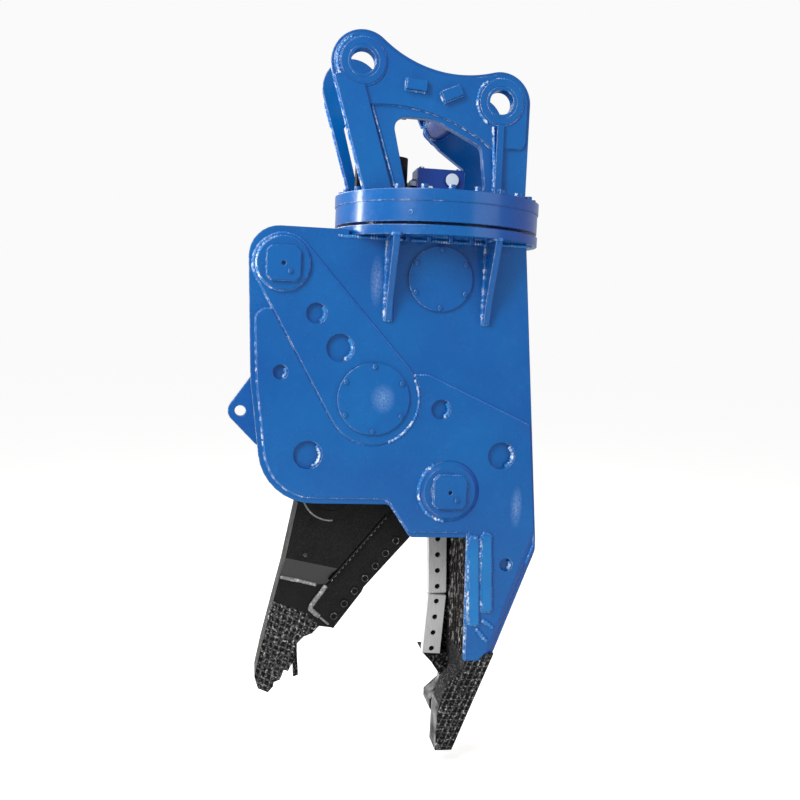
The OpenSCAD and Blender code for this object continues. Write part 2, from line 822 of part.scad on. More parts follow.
// Fixed blades: their left edge bends at the middle
blade_head = [0.975 * pivot_x, -mouth_drop + 0.6 * rim_w];
blade_bend = [1.006 * pivot_x, -mouth_drop - 0.634 * (cheek_foot_drop - mouth_drop)];
blade_foot = [0.969 * pivot_x, -cheek_foot_drop - 3 * rim_w];
blade_joint = 0.25 * rim_w;

// Corners that both side plates share, as [x, z, radius, inset in x, inset in z, change of radius]
shared_corners = [
    [slant_foot[0], slant_foot[1], rim_w, slant_slip, 1, -1],
    [slant_head[0], slant_head[1], rim_w, slant_slip, 1, 1],
    [heel_x, -bottom_drop, heel_r, 1, 1, -1],
    [left_low_x, heel_z, 0, 1, 0, 0],
    [left_mid_x, left_mid_z, 0, 1, 0, 0],
    [left_top_x, body_top_z, shoulder_r, 1, -1, -1],
    [notch_x, body_top_z, 0, -1, -1, 0],
    [notch_x, flange_low_z, 0, -1, -1, 0],
    [right_top_x, flange_low_z, 0, -1, -1, 0],
    [widest[0], widest[1], 3 * rim_w, -1, 0, -1],
    [foot_right[0], foot_right[1], 0, -1, 0, 0],
    [foot_step[0], foot_step[1], 0, 0, 0, 0]
];
near_corners = concat(shared_corners, [
    [foot_mid[0], foot_mid[1], 0, 0, 0, 0],
    [foot_left[0], foot_left[1], 0, 0, 0, 0],
    [cheek_head[0], cheek_head[1], 0, 0, 1, 0]
]);
plate_back = 1.2 * rim_w;
carrier_back = 0.78 * rim_w;
far_corners = concat(shared_corners, [
    [foot_mid[0], blade_foot[1], 0, 0, 0, 0],
    [blade_foot[0] + plate_back, blade_foot[1], 0, 0, 0, 0],
    [blade_bend[0] + plate_back, blade_bend[1], 0, 0, 0, 0],
    [blade_head[0] + plate_back, -mouth_drop, 0, 0, 1, 0]
]);
function side_corners(side) = side == near ? near_corners : far_corners;
function inset(corners, i) =
    [for (c = corners) [c[0] + i * c[3], c[1] + i * c[4], max(c[2] + i * c[5], 0)]];

// Body: places of covers and plugs
top_cover_at = [0.966 * ring_x, -top_cover_drop];
main_cover_at = [main_cover_x, -main_cover_drop];
plug_shares = [
    [-0.342, 0.583, 0.72], [-0.107, 0.662, 0.98], [-0.66, 0.724, 0.51], [-0.379, 0.9185, 1],
    [0.888, 0.801, 0.7], [1.509, 0.9105, 0.98], [1.613, 1.182, 0.47]
];
cover_bolt_shank_r = 0.55 * cover_bolt_r;
cover_bolt_grip = 2 * cover_t;
cover_bolt_count = 6;

module plug_cuts(side) {
    slab(side, doubler_out - plug_depth, plug_depth + over) for (p = plug_shares)
        disc([p[0] * pivot_x, -p[1] * pivot_drop], p[2] * plug_r);
}

// The bolts of one cover, on a circle just inside its rim
module cover_circle(at, cover_r) {
    for (i = [0:cover_bolt_count - 1])
        translate(at) rotate((i + 0.25 * cover_bolt_count) * full_turn / cover_bolt_count)
            translate([cover_r - 1.4 * cover_bolt_r, 0]) children();
}

// Shank holes of both covers on one side
module cover_bolt_cuts(side) {
    slab(side, side_out - cover_bolt_grip, cover_bolt_grip + doubler_t + cover_t + over) {
        cover_circle(top_cover_at, top_cover_r) circle(cover_bolt_shank_r, $fn = 24);
        cover_circle(main_cover_at, main_cover_r) circle(cover_bolt_shank_r, $fn = 24);
    }
}

// The chamfer along the fixed jaw's sloping edge, which narrows towards its foot
slope_taper = 1.3;

module slope_cut(side) {
    run = foot_right - widest;
    w = slope_chamfer * cos(heading(run) + full_turn / 4);
    d = side * slope_depth;
    e = 0.3;
    translate([widest[0], side * doubler_out, widest[1]]) rotate([0, -heading(run) - slope_taper, 0])
        translate([-e * norm(run), 0, 0]) rotate([90, 0, 90]) linear_extrude((1 + 2 * e) * norm(run))
            polygon([[e * d, -w - e * w], [-d - e * d, e * w], [e * d, e * w]]);
}

module side_plate(side) {
    color(paint) difference() {
        slab(side, side_in, side_t) difference() {
            polygon(rounded(inset(side_corners(side), 0)));
            disc(cyl_pin, cyl_pin_r);
            disc(pivot, pivot_r);
            disc(top_cover_at, top_cover_r - cover_seat);
            disc(main_cover_at, main_cover_r - cover_seat);
        }
        plug_cuts(side);
        cover_bolt_cuts(side);
        slope_cut(side);
    }
}

module side_plate_near() {
    side_plate(near);
}

module side_plate_far() {
    side_plate(far);
}

module strut_outline(grow = 0) {
    polygon(teardrop(
        cyl_pin, cyl_boss_r + strut_pad + grow, main_cover_at, main_cover_r + strut_foot_pad + grow));
}

module strut_doubler(side) {
    color(paint) difference() {
        slab(side, side_out, doubler_t) difference() {
            strut_outline();
            disc(cyl_pin, cyl_pin_r);
            disc(main_cover_at, main_cover_r - cover_seat);
        }
        plug_cuts(side);
        cover_bolt_cuts(side);
    }
}

module strut_doubler_near() {
    strut_doubler(near);
}

module strut_doubler_far() {
    strut_doubler(far);
}

// The lower doubler follows the rim and wraps the strut doubler with a narrow groove
groove_w = 0.2 * rim_w;
tab_x = main_cover_x + 1.2 * (main_cover_r + strut_foot_pad);

function doubler_corners(side) = concat(
    inset([for (i = [0:4]) shared_corners[i]], rim_w),
    [
        [left_x(-doubler_top_drop) + rim_w, -doubler_top_drop, 1.6 * rim_w],
        [cyl_pin_x + cyl_boss_r, -doubler_top_drop, 0],
        [main_cover_x + 0.45 * main_cover_r, -doubler_tab_drop, 0],
        [tab_x, -doubler_tab_drop, 0.7 * rim_w],
        [right_x(-doubler_right_drop) - 0.4 * rim_w, -doubler_right_drop, 0],
        [widest[0] - 0.4 * rim_w, widest[1] + rim_w, 0],
        [foot_right[0], foot_right[1], 0],
        [foot_step[0], foot_step[1], 0]
    ],
    inset([for (i = [len(shared_corners):len(side_corners(side)) - 1]) side_corners(side)[i]], rim_w)
);

module lower_doubler(side) {
    color(paint) difference() {
        slab(side, side_out, doubler_t) difference() {
            polygon(rounded(doubler_corners(side)));
            strut_outline(groove_w);
            disc(pivot, pivot_r);
        }
        plug_cuts(side);
        slope_cut(side);
    }
}

module lower_doubler_near() {
    lower_doubler(near);
}

module lower_doubler_far() {
    lower_doubler(far);
}

module flange_gussets() {
    color(paint) both_sides() for (x = gusset_xs)
        translate([x - gusset_t / 2, 0, flange_low_z]) rotate([90, 0, 90]) linear_extrude(gusset_t)
            polygon([[side_out, 0], [side_out + gusset_reach, 0], [side_out + gusset_reach, -gusset_foot],
                [side_out + 0.3 * gusset_reach, -0.72 * gusset_h], [side_out + gusset_foot, -gusset_h],
                [side_out, -gusset_h]]);
}

// Body: the plates that close the box between the side plates
module back_plate() {
    color(paint) across(-side_in, side_in) intersection() {
        difference() {
            polygon(rounded(inset(near_corners, shell_inset)));
            polygon(rounded(inset(near_corners, shell_inset + shell_t)));
        }
        translate([2 * left_top_x, heel_z]) square([ring_x - flange_r - over - 2 * left_top_x, -heel_z]);
    }
}

module front_plate() {
    a = shell_inset;
    b = shell_inset + shell_t;
    color(paint) across(-side_in, side_in) polygon([
        [right_top_x - a, flange_low_z], widest - [a, 0], foot_right - [a, 0],
        foot_right - [b, 0], widest - [b, 0], [right_top_x - b, flange_low_z]]);
}

ear_at = [ear_x, -ear_drop];

module lifting_ear() {
    color(paint) across(-ear_t / 2, ear_t / 2) difference() {
        polygon(concat(arc(ear_at, ear_r, 150, 215), [
            [left_x(-ear_drop - ear_flare), -ear_drop - ear_flare], [cyl_pin_x, -ear_drop],
            [left_x(-ear_drop + ear_flare), -ear_drop + ear_flare]]));
        disc(ear_at, ear_hole_r);
        polygon(rounded(inset(near_corners, shell_inset)));
    }
}

// Cylinder pin: outer bosses, inner bosses that centre the tail eye, pin and keepers
tail_play = 0.5;

module cylinder_pin_bosses() {
    color(paint) both_sides() {
        ring_y(cyl_pin, cyl_boss_r, cyl_pin_r, doubler_out, doubler_out + pivot_boss_t);
        ring_y(cyl_pin, 0.85 * cyl_boss_r, cyl_pin_r, tail_w / 2 + tail_play, side_in);
    }
}

module cylinder_pin() {
    color(machined) bar_y(cyl_pin, cyl_pin_r, -doubler_out - pivot_boss_t, doubler_out + pivot_boss_t);
}

// A square keeper with cut corners and a grease hole in its middle
module keeper(at, w) {
    ring = 0.06 * w;
    both_sides() slab(near, doubler_out + pivot_boss_t, keeper_t) translate(at) difference() {
        intersection() {
            square([w, w], center = true);
            rotate(45) square([1.22 * w, 1.22 * w], center = true);
        }
        circle(ring, $fn = 48);
        translate([0.2 * w, -0.22 * w]) circle(cover_bolt_shank_r + fit, $fn = 24);
    }
}

module cylinder_pin_keepers() {
    color(paint) keeper(cyl_pin, 0.98 * keeper_w);
}

module pivot_bosses() {
    color(paint) both_sides() translate([pivot[0], -doubler_out, pivot[1]]) rotate([90, 0, 0]) difference() {
        cylinder(r1 = pivot_boss_r + pivot_weld, r2 = pivot_boss_r, h = pivot_boss_t, $fn = fine);
        translate([0, 0, -over]) cylinder(r = pivot_r, h = pivot_boss_t + 2 * over, $fn = fine);
    }
}

module pivot_pin() {
    color(machined) bar_y(pivot, pivot_r, -doubler_out - pivot_boss_t, doubler_out + pivot_boss_t);
}

module pivot_keepers() {
    color(paint) keeper(pivot, keeper_w);
}

hub_half = side_in - washer_t - seat_gap;

module thrust_washers() {
    color(machined) both_sides() ring_y(pivot, hub_r - washer_t, pivot_r, side_in - washer_t, side_in);
}

// Covers and their bolts
module cover(at, r, y) {
    both_sides() difference() {
        slab(near, y, cover_t) disc(at, r);
        cover_bolt_cuts(near);
    }
}

module upper_covers() {
    color(paint) cover(top_cover_at, top_cover_r, side_out);
}

module lower_covers() {
    color(paint) cover(main_cover_at, main_cover_r, doubler_out);
}

module cover_bolts() {
    color(paint) both_sides() {
        for (c = [[top_cover_at, top_cover_r, side_out], [main_cover_at, main_cover_r, doubler_out]]) {
            slab(near, c[2] + cover_t, cover_bolt_h) cover_circle(c[0], c[1]) circle(cover_bolt_r, $fn = 6);
            slab(near, side_out - cover_bolt_grip, c[2] + cover_t + cover_bolt_grip - side_out)
                cover_circle(c[0], c[1]) circle(cover_bolt_shank_r, $fn = 24);
        }
        for (k = [[cyl_pin, 0.98 * keeper_w], [pivot, keeper_w]]) {
            slab(near, doubler_out + pivot_boss_t, keeper_t) translate(k[0] + k[1] * [0.2, -0.22])
                circle(cover_bolt_shank_r, $fn = 24);
            slab(near, doubler_out + pivot_boss_t + keeper_t, cover_bolt_h)
                translate(k[0] + k[1] * [0.2, -0.22]) circle(cover_bolt_r, $fn = 6);
        }
    }
}

// Fixed jaw: the wall that faces the mouth, with its ridged liner
wall_head_z = -mouth_drop + 0.6 * rim_w;
liner_face = 0.6 * ridge_r;

function wall_line(off) =
    [[cheek_x(wall_head_z) + off, wall_head_z], [cheek_foot_x + off, over - cheek_foot_drop]];
function wall_band(a, b) = concat(wall_line(a), [wall_line(b)[1], wall_line(b)[0]]);

module jaw_front_wall() {
    color(paint) across(-side_in, carrier_y)
        polygon(wall_band(liner_face + liner_t, liner_face + liner_t + 1.2 * shell_t));
}

module wear_liner() {
    line = wall_line(liner_face);
    width = carrier_y + side_in;
    color(hardfacing) {
        across(-side_in, carrier_y) polygon(wall_band(liner_face, liner_face + liner_t));
        for (i = [0:ridges - 1])
            run_down(line[0], line[1], -side_in + (i + 0.5) * width / ridges)
                intersection() {
                    cylinder(r = ridge_r, h = norm(line[1] - line[0]), $fn = 32);
                    translate([0, -ridge_r, 0]) cube([liner_t, 2 * ridge_r, norm(line[1] - line[0])]);
                }
    }
}

// Runs +Z from p to q, both [x, z], at y, with +X on the left
module run_down(p, q, y) {
    translate([p[0], y, p[1]]) rotate([0, 180 - atan2(q[0] - p[0], p[1] - q[1]), 0]) children();
}

// Four corners of a blade whose cutting edge runs from a to b, with its width w to the left of a to b
function blade_quad(a, b, w) = let(n = left_of(unit(b - a)) * w) [a, b, b + n, a + n];
upper_blade_line = [blade_head, blade_bend + [0, blade_joint / 2]];
lower_blade_line = [blade_bend - [0, blade_joint / 2], blade_foot];

// Bolt places along a blade from its end at the joint
function blade_bolts(joint, end) =
    let(d = unit(end - joint), n = left_of(d) * (d[1] < 0 ? 1 : -1), count = round(norm(end - joint) / blade_bolt_gap))
    [for (i = [0:count - 1]) joint + d * (i + 0.4) * blade_bolt_gap + n * blade_w / 2];
fixed_bolt_places = concat(
    blade_bolts(upper_blade_line[1], upper_blade_line[0]), blade_bolts(lower_blade_line[0], lower_blade_line[1]));
bolt_sink = 0.2 * blade_t;

module fixed_bolt_holes() {
    for (p = fixed_bolt_places) disc(p, blade_bolt_r);
}

module fixed_blade(line) {
    color(ground_steel) across(cut_y, carrier_y) difference() {
        polygon(blade_quad(line[0], line[1], blade_w));
        fixed_bolt_holes();
    }
}

module fixed_blade_upper() {
    fixed_blade(upper_blade_line);
}

module fixed_blade_lower() {
    fixed_blade(lower_blade_line);
}

module fixed_blade_bolts() {
    color(charcoal) for (p = fixed_bolt_places) difference() {
        bar_y(p, blade_bolt_r, cut_y + bolt_sink, side_in);
        across(cut_y, cut_y + 2 * bolt_sink) translate(p) circle(0.6 * blade_bolt_r, $fn = 6);
    }
}

module blade_carrier() {
    color(hardfacing) across(carrier_y, side_in) difference() {
        polygon([
            blade_head + [carrier_back, 0], blade_bend + [carrier_back, 0], blade_foot + [carrier_back, 0],
            [foot_mid[0], blade_foot[1]], [foot_mid[0] + rim_w, wall_head_z]]);
        fixed_bolt_holes();
    }
}

// Bars welded on the cheeks beside the mouth, in shares of the cheek's height
bar_shares = [[0, 0.002, 0.702], [1.36, -0.028, 0.592]];

module wear_bars() {
    cheek_h = cheek_foot_drop - mouth_drop;
    color(paint) both_sides() slab(near, doubler_out, bar_t) for (b = bar_shares)
        translate([cheek_top_x + b[0] * bar_w, -mouth_drop - b[1] * cheek_h]) rotate(3)
            translate([0, -(b[2] - b[1]) * cheek_h]) polygon(rounded([[0, 0, bar_w / 4], [bar_w, 0, bar_w / 4],
                [bar_w, (b[2] - b[1]) * cheek_h, bar_w / 4], [0, (b[2] - b[1]) * cheek_h, bar_w / 4]]));
}

// Fixed tip: a near prong, a middle and a far beak, as shares of the tip's height
tip_h = tip_drop - cheek_foot_drop;
near_prong_shares = [[-0.285, 0.86], [-0.28, 0.57], [-0.2, 0.275], [-0.1, 0.17], [-0.02, 0.1]];
blade_heel = blade_quad(lower_blade_line[0], lower_blade_line[1], blade_w);
far_beak_shares = [[-0.195, 0.32], [-0.116, 0.434], [-0.03, 0.572], [-0.035, 0.63], [-0.195, 0.777],
    [-0.195, 0.874], [-0.13, 0.962], [-0.045, 0.84]];
function tip_point(s) = foot_left + [s[0] * tip_h, -s[1] * tip_h];
tip_right = [cheek_foot_x - 0.285 * tip_h + tip_w + 0.001 * over, -tip_drop];
tip_slope_mid = foot_right + 0.56 * (tip_right - foot_right);

module fixed_tip() {
    color(hardfacing) difference() {
        union() {
            across(-doubler_out, -cut_y - 2 * ridge_r) polygon(concat(
                [foot_left, foot_mid, foot_step, foot_right, tip_right, tip_right - [tip_w, 0]],
                [for (s = near_prong_shares) tip_point(s)]));
            across(-doubler_out, carrier_y)
                polygon([
                    foot_left, foot_mid, foot_step, foot_right, tip_slope_mid, [foot_left[0], tip_slope_mid[1]]]);
            across(cut_y, doubler_out) polygon(concat(
                [foot_step, foot_right, tip_slope_mid + 0.4 * (tip_right - tip_slope_mid)],
                [for (i = [len(far_beak_shares) - 1:-1:0]) tip_point(far_beak_shares[i])],
                [blade_heel[1], blade_heel[2], [foot_mid[0], blade_heel[2][1]]]));
        }
    }
}

// Moving jaw: outline in shares of its reach, from the main pivot
function jaw_point(s) = pivot + jaw_reach * [s[0], s[1]];
function jaw_points(shares) = [for (s = shares) jaw_point(s)];
jaw_left_shares = [[-0.531, -0.072], [-0.565, -0.26], [-0.606, -0.44]];
jaw_seam_shares = [[-0.606, -0.44], [-0.478, -0.485], [-0.434, -0.534]];
jaw_edge_shares = [[-0.384, -0.541], [-0.283, -0.402], [-0.277, -0.386], [-0.115, -0.199], [-0.069, -0.129]];
cheek_low_shares = [[-0.568, -0.272], [-0.584, -0.35], [-0.451, -0.377], [-0.416, -0.376], [-0.189, -0.0976]];
strip_shares = [[-0.126, -0.053], [-0.185, -0.101], [-0.412, -0.379], [-0.472, -0.462], [-0.455, -0.473]];
tip_shares = [[-0.645, -0.615], [-0.665, -0.724], [-0.651, -0.767], [-0.614, -0.783], [-0.596, -0.762],
    [-0.594, -0.745], [-0.572, -0.736], [-0.565, -0.719], [-0.559, -0.699], [-0.542, -0.703],
    [-0.533, -0.682], [-0.524, -0.67], [-0.514, -0.6], [-0.49, -0.574], [-0.46, -0.562]];
fang_shares = [
    [-0.524, -0.6], [-0.508, -0.6], [-0.506, -0.669], [-0.498, -0.761], [-0.517, -0.768], [-0.524, -0.66]
];
blade_bolt_shares = [[-0.164, -0.209], [-0.383, -0.493]];

jaw_far_y = cut_y - cut_play;
moving_bolt_places = [for (i = [0:jaw_blade_bolts - 1])
    let(a = jaw_point(blade_bolt_shares[0]), b = jaw_point(blade_bolt_shares[1]))
    a + (b - a) * i / (jaw_blade_bolts - 1)];
strip_t = 0.8 * liner_t;
moving_blade_lines = [[jaw_edge_shares[3], jaw_edge_shares[2]], [jaw_edge_shares[1], jaw_edge_shares[0]]];

// The rounded upper part of the jaw, from an angle round the main pivot to the heel's left
web_r = 0.99 * hub_r;
heel_top = tangent_angle(rod_pin_at, heel_lobe_r, pivot, web_r);
heel_left = heading(jaw_point(jaw_left_shares[0]) - rod_pin_at) + full_turn;
function jaw_top(from) = concat(
    arc(pivot, web_r, from, heel_top), arc(rod_pin_at, heel_lobe_r, heel_top, heel_left));

module moving_blade_outline() {
    for (l = moving_blade_lines)
        polygon(blade_quad(jaw_point(l[1]), jaw_point(l[0]), jaw_blade_w));
}

module moving_bolt_holes(r) {
    for (p = moving_bolt_places) disc(p, r);
}

// The slot in the jaw's top that takes the rod eye, open over the rod's swing
slot_arc = [165, 365];
slot_mouth = [48, 118];

module rod_slot() {
    slot_r = 1.3 * eye_r;
    across(-eye_w / 2 - slot_play, eye_w / 2 + slot_play) polygon(concat(
        arc(rod_pin_at, slot_r, slot_arc[0], slot_arc[1]),
        [for (a = slot_mouth) rod_pin_at + polar(3 * slot_r, a)]));
}

// The slope where a thick cheek runs out into the jaw's face
module cheek_run_out(side) {
    a = jaw_point(cheek_low_shares[0]);
    b = jaw_point(cheek_low_shares[1]);
    fall = atan2(jaw_cheek_y - jaw_near_y, norm(b - a));
    translate([a[0], side * jaw_cheek_y, a[1]]) rotate([0, -heading(b - a), 0]) rotate([0, 0, -side * fall])
        translate([0, side > 0 ? 0 : -heel_lobe_r, -jaw_reach / 2])
            cube([2 * heel_lobe_r, heel_lobe_r, jaw_reach]);
}

module moving_jaw() {
    color(charcoal) difference() {
        union() {
            across(-jaw_near_y, jaw_far_y) polygon(concat(jaw_top(heading(jaw_edge_shares[4])),
                jaw_points([for (i = [1:2]) jaw_left_shares[i]]),
                jaw_points([for (i = [1:2]) jaw_seam_shares[i]]),
                jaw_points(jaw_edge_shares)));
            bar_y(pivot, hub_r, -hub_half, hub_half);
            for (side = [near, far]) difference() {
                slab(side, jaw_near_y - over, jaw_cheek_y - jaw_near_y + over)
                    polygon(concat(jaw_top(heading(cheek_low_shares[4])), jaw_points(cheek_low_shares)));
                cheek_run_out(side);
            }
            slab(near, jaw_near_y, strip_t)
                polygon(concat(jaw_points(strip_shares), jaw_points(jaw_edge_shares)));
            both_sides() ring_y(rod_pin_at, heel_boss_r, 1.6 * rod_pin_r, jaw_cheek_y, jaw_cheek_y + strip_t);
        }
        bar_y(pivot, pivot_r + pivot_bush_wall, -hub_half - over, hub_half + over);
        bar_y(rod_pin_at, rod_pin_r, -hub_half, hub_half);
        rod_slot();
        across(jaw_far_y - jaw_blade_t, jaw_far_y + over) moving_blade_outline();
        across(-hub_half, jaw_far_y) moving_bolt_holes(blade_bolt_r);
    }
}

module jaw_pivot_bush() {
    color(machined) ring_y(pivot, pivot_r + pivot_bush_wall, pivot_r + fit, -hub_half, hub_half);
}

module moving_blades() {
    color(ground_steel) across(jaw_far_y - jaw_blade_t, jaw_far_y) difference() {
        moving_blade_outline();
        moving_bolt_holes(blade_bolt_r);
    }
}

module moving_blade_bolts() {
    color(charcoal) for (p = moving_bolt_places) {
        bar_y(p, blade_bolt_r, -jaw_near_y - strip_t, jaw_far_y - bolt_sink);
        slab(near, jaw_near_y + strip_t, cover_bolt_h) difference() {
            disc(p, blade_head_r);
            translate(p) circle(0.55 * blade_head_r, $fn = 6);
        }
    }
}

module moving_tip() {
    color(hardfacing) {
        across(-jaw_near_y, jaw_far_y) polygon(concat(
            [jaw_point(jaw_seam_shares[0])], jaw_points(tip_shares),
            [jaw_point(jaw_seam_shares[2]), jaw_point(jaw_seam_shares[1])]));
        across(jaw_far_y - jaw_blade_t, jaw_far_y) polygon(jaw_points(fang_shares));
    }
}

module rod_pin() {
    pin_half = jaw_cheek_y + strip_t;
    color(machined) {
        bar_y(rod_pin_at, rod_pin_r, -jaw_cheek_y - over, jaw_cheek_y + over);
        both_sides() bar_y(rod_pin_at, 1.6 * rod_pin_r - over, jaw_cheek_y, pin_half);
    }
}

// Hydraulic cylinder, drawn from its tail pin with +Z towards the rod pin
module along_cylinder() {
    run_down(cyl_pin, rod_pin_at, 0) children();
}

barrel_floor = 1.75 * eye_r;
piston_t = 0.8 * barrel_bore_r;
piston_start = barrel_floor + 0.1 * eye_r;
gland_t = 0.4 * eye_r;

module cylinder_barrel() {
    port = 0.4 * barrel_r;
    color(paint_dark) difference() {
        union() {
            along_cylinder() {
                translate([0, 0, 0.6 * eye_r]) cylinder(r = tail_w / 2 - tail_play, h = eye_r, $fn = fine);
                translate([0, 0, 1.3 * eye_r]) cylinder(r = barrel_r, h = barrel_len - 1.3 * eye_r, $fn = fine);
                for (s = [barrel_floor + port, barrel_len - 1.5 * gland_t - port])
                    translate([-barrel_r - 0.6 * port, 0, s]) rotate([0, 90, 0])
                        cylinder(r = 0.7 * port, h = port, $fn = 48);
            }
            bar_y(cyl_pin, eye_r, -tail_w / 2, tail_w / 2);
        }
        bar_y(cyl_pin, cyl_pin_r + fit, -side_in, side_in);
        along_cylinder() translate([0, 0, barrel_floor]) cylinder(r = barrel_bore_r, h = barrel_len, $fn = fine);
    }
}

module cylinder_gland() {
    color(machined) along_cylinder() difference() {
        union() {
            translate([0, 0, barrel_len]) cylinder(r = barrel_r + 0.1 * gland_t, h = gland_t, $fn = fine);
            translate([0, 0, barrel_len - 1.5 * gland_t])
                cylinder(r = barrel_bore_r, h = 1.5 * gland_t + over, $fn = fine);
        }
        translate([0, 0, barrel_len - 2 * gland_t]) cylinder(r = rod_r + fit, h = 4 * gland_t, $fn = fine);
    }
}

module piston() {
    color(machined) along_cylinder() translate([0, 0, piston_start]) difference() {
        cylinder(r = barrel_bore_r - fit, h = piston_t, $fn = fine);
        translate([0, 0, -over]) cylinder(r = 0.6 * rod_r, h = piston_t + 2 * over, $fn = fine);
    }
}

module piston_rod() {
    color(ground_steel) difference() {
        union() {
            along_cylinder() {
                translate([0, 0, piston_start]) cylinder(r = 0.6 * rod_r, h = piston_t + over, $fn = fine);
                translate([0, 0, piston_start + piston_t])
                    cylinder(r = rod_r, h = cyl_len - piston_start - piston_t - 0.6 * eye_r, $fn = fine);
            }
            bar_y(rod_pin_at, eye_r, -eye_w / 2, eye_w / 2);
        }
        bar_y(rod_pin_at, rod_pin_r + eye_play, -side_in, side_in);
    }
}

head_side_plate_near();
head_side_plate_far();
head_doubler_near();
head_doubler_far();
head_ribs_near();
head_ribs_far();
lug_collars();
lug_bushes();
head_cross_tube();
link_stop_blocks();
head_base_plate();
head_ring_bolts();
swivel_housing();
hose_fittings();
slew_motor();
bearing_outer_ring();
bearing_balls();
slew_pinion();
bearing_inner_ring();
lower_flange();
lower_flange_bolts();
swivel_core();
side_plate_near();
side_plate_far();
strut_doubler_near();
strut_doubler_far();
lower_doubler_near();
lower_doubler_far();
flange_gussets();
back_plate();
front_plate();
lifting_ear();
cylinder_pin_bosses();
cylinder_pin();
cylinder_pin_keepers();
upper_covers();
lower_covers();
cover_bolts();
pivot_bosses();
pivot_pin();
pivot_keepers();
thrust_washers();
jaw_front_wall();
wear_liner();
blade_carrier();
fixed_blade_upper();
fixed_blade_lower();
fixed_blade_bolts();
wear_bars();
fixed_tip();
moving_jaw();
jaw_pivot_bush();
moving_blades();
moving_blade_bolts();
moving_tip();
rod_pin();
cylinder_barrel();
cylinder_gland();
piston_rod();
piston();
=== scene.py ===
import json
import math
import random

import bmesh
import bpy
from mathutils import Matrix, Vector


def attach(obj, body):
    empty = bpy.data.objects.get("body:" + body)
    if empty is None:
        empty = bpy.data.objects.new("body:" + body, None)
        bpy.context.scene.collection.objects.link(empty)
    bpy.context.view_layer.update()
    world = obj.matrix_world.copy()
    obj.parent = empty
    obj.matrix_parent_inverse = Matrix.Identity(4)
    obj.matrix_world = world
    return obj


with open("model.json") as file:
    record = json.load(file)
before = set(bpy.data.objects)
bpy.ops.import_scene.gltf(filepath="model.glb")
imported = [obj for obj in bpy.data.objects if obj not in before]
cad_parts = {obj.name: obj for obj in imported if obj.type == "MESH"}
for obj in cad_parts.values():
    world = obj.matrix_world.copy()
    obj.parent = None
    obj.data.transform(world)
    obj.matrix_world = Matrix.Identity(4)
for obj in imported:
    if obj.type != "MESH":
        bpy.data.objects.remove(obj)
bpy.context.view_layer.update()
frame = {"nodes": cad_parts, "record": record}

MM = 0.001

# Camera: place, turn and lens fitted to the photograph
CAMERA_AT = Vector((-0.33518, -3.33251, -0.8405))
YAW, PITCH, ROLL = math.radians(9.13), math.radians(-4.51), math.radians(2.51)
LENS, SENSOR = 42.85, 36.0


def make_camera():
    ahead = Vector((math.sin(YAW) * math.cos(PITCH), math.cos(YAW) * math.cos(PITCH), math.sin(PITCH)))
    level = Vector((math.cos(YAW), -math.sin(YAW), 0))
    top = level.cross(ahead)
    right = level * math.cos(ROLL) + top * math.sin(ROLL)
    up = -level * math.sin(ROLL) + top * math.cos(ROLL)
    data = bpy.data.cameras.new("camera")
    data.lens, data.sensor_width, data.clip_start = LENS, SENSOR, 0.05
    cam = bpy.data.objects.new("camera", data)
    turn = Matrix((right, up, -ahead)).transposed().to_4x4()
    cam.matrix_world = Matrix.Translation(CAMERA_AT) @ turn
    bpy.context.scene.collection.objects.link(cam)
    bpy.context.scene.camera = cam


make_camera()
bpy.context.scene.view_settings.view_transform = "Standard"


# Materials
def srgb(r, g, b):
    lin = [c / 255 / 12.92 if c <= 10 else ((c / 255 + 0.055) / 1.055) ** 2.4 for c in (r, g, b)]
    return (*lin, 1.0)


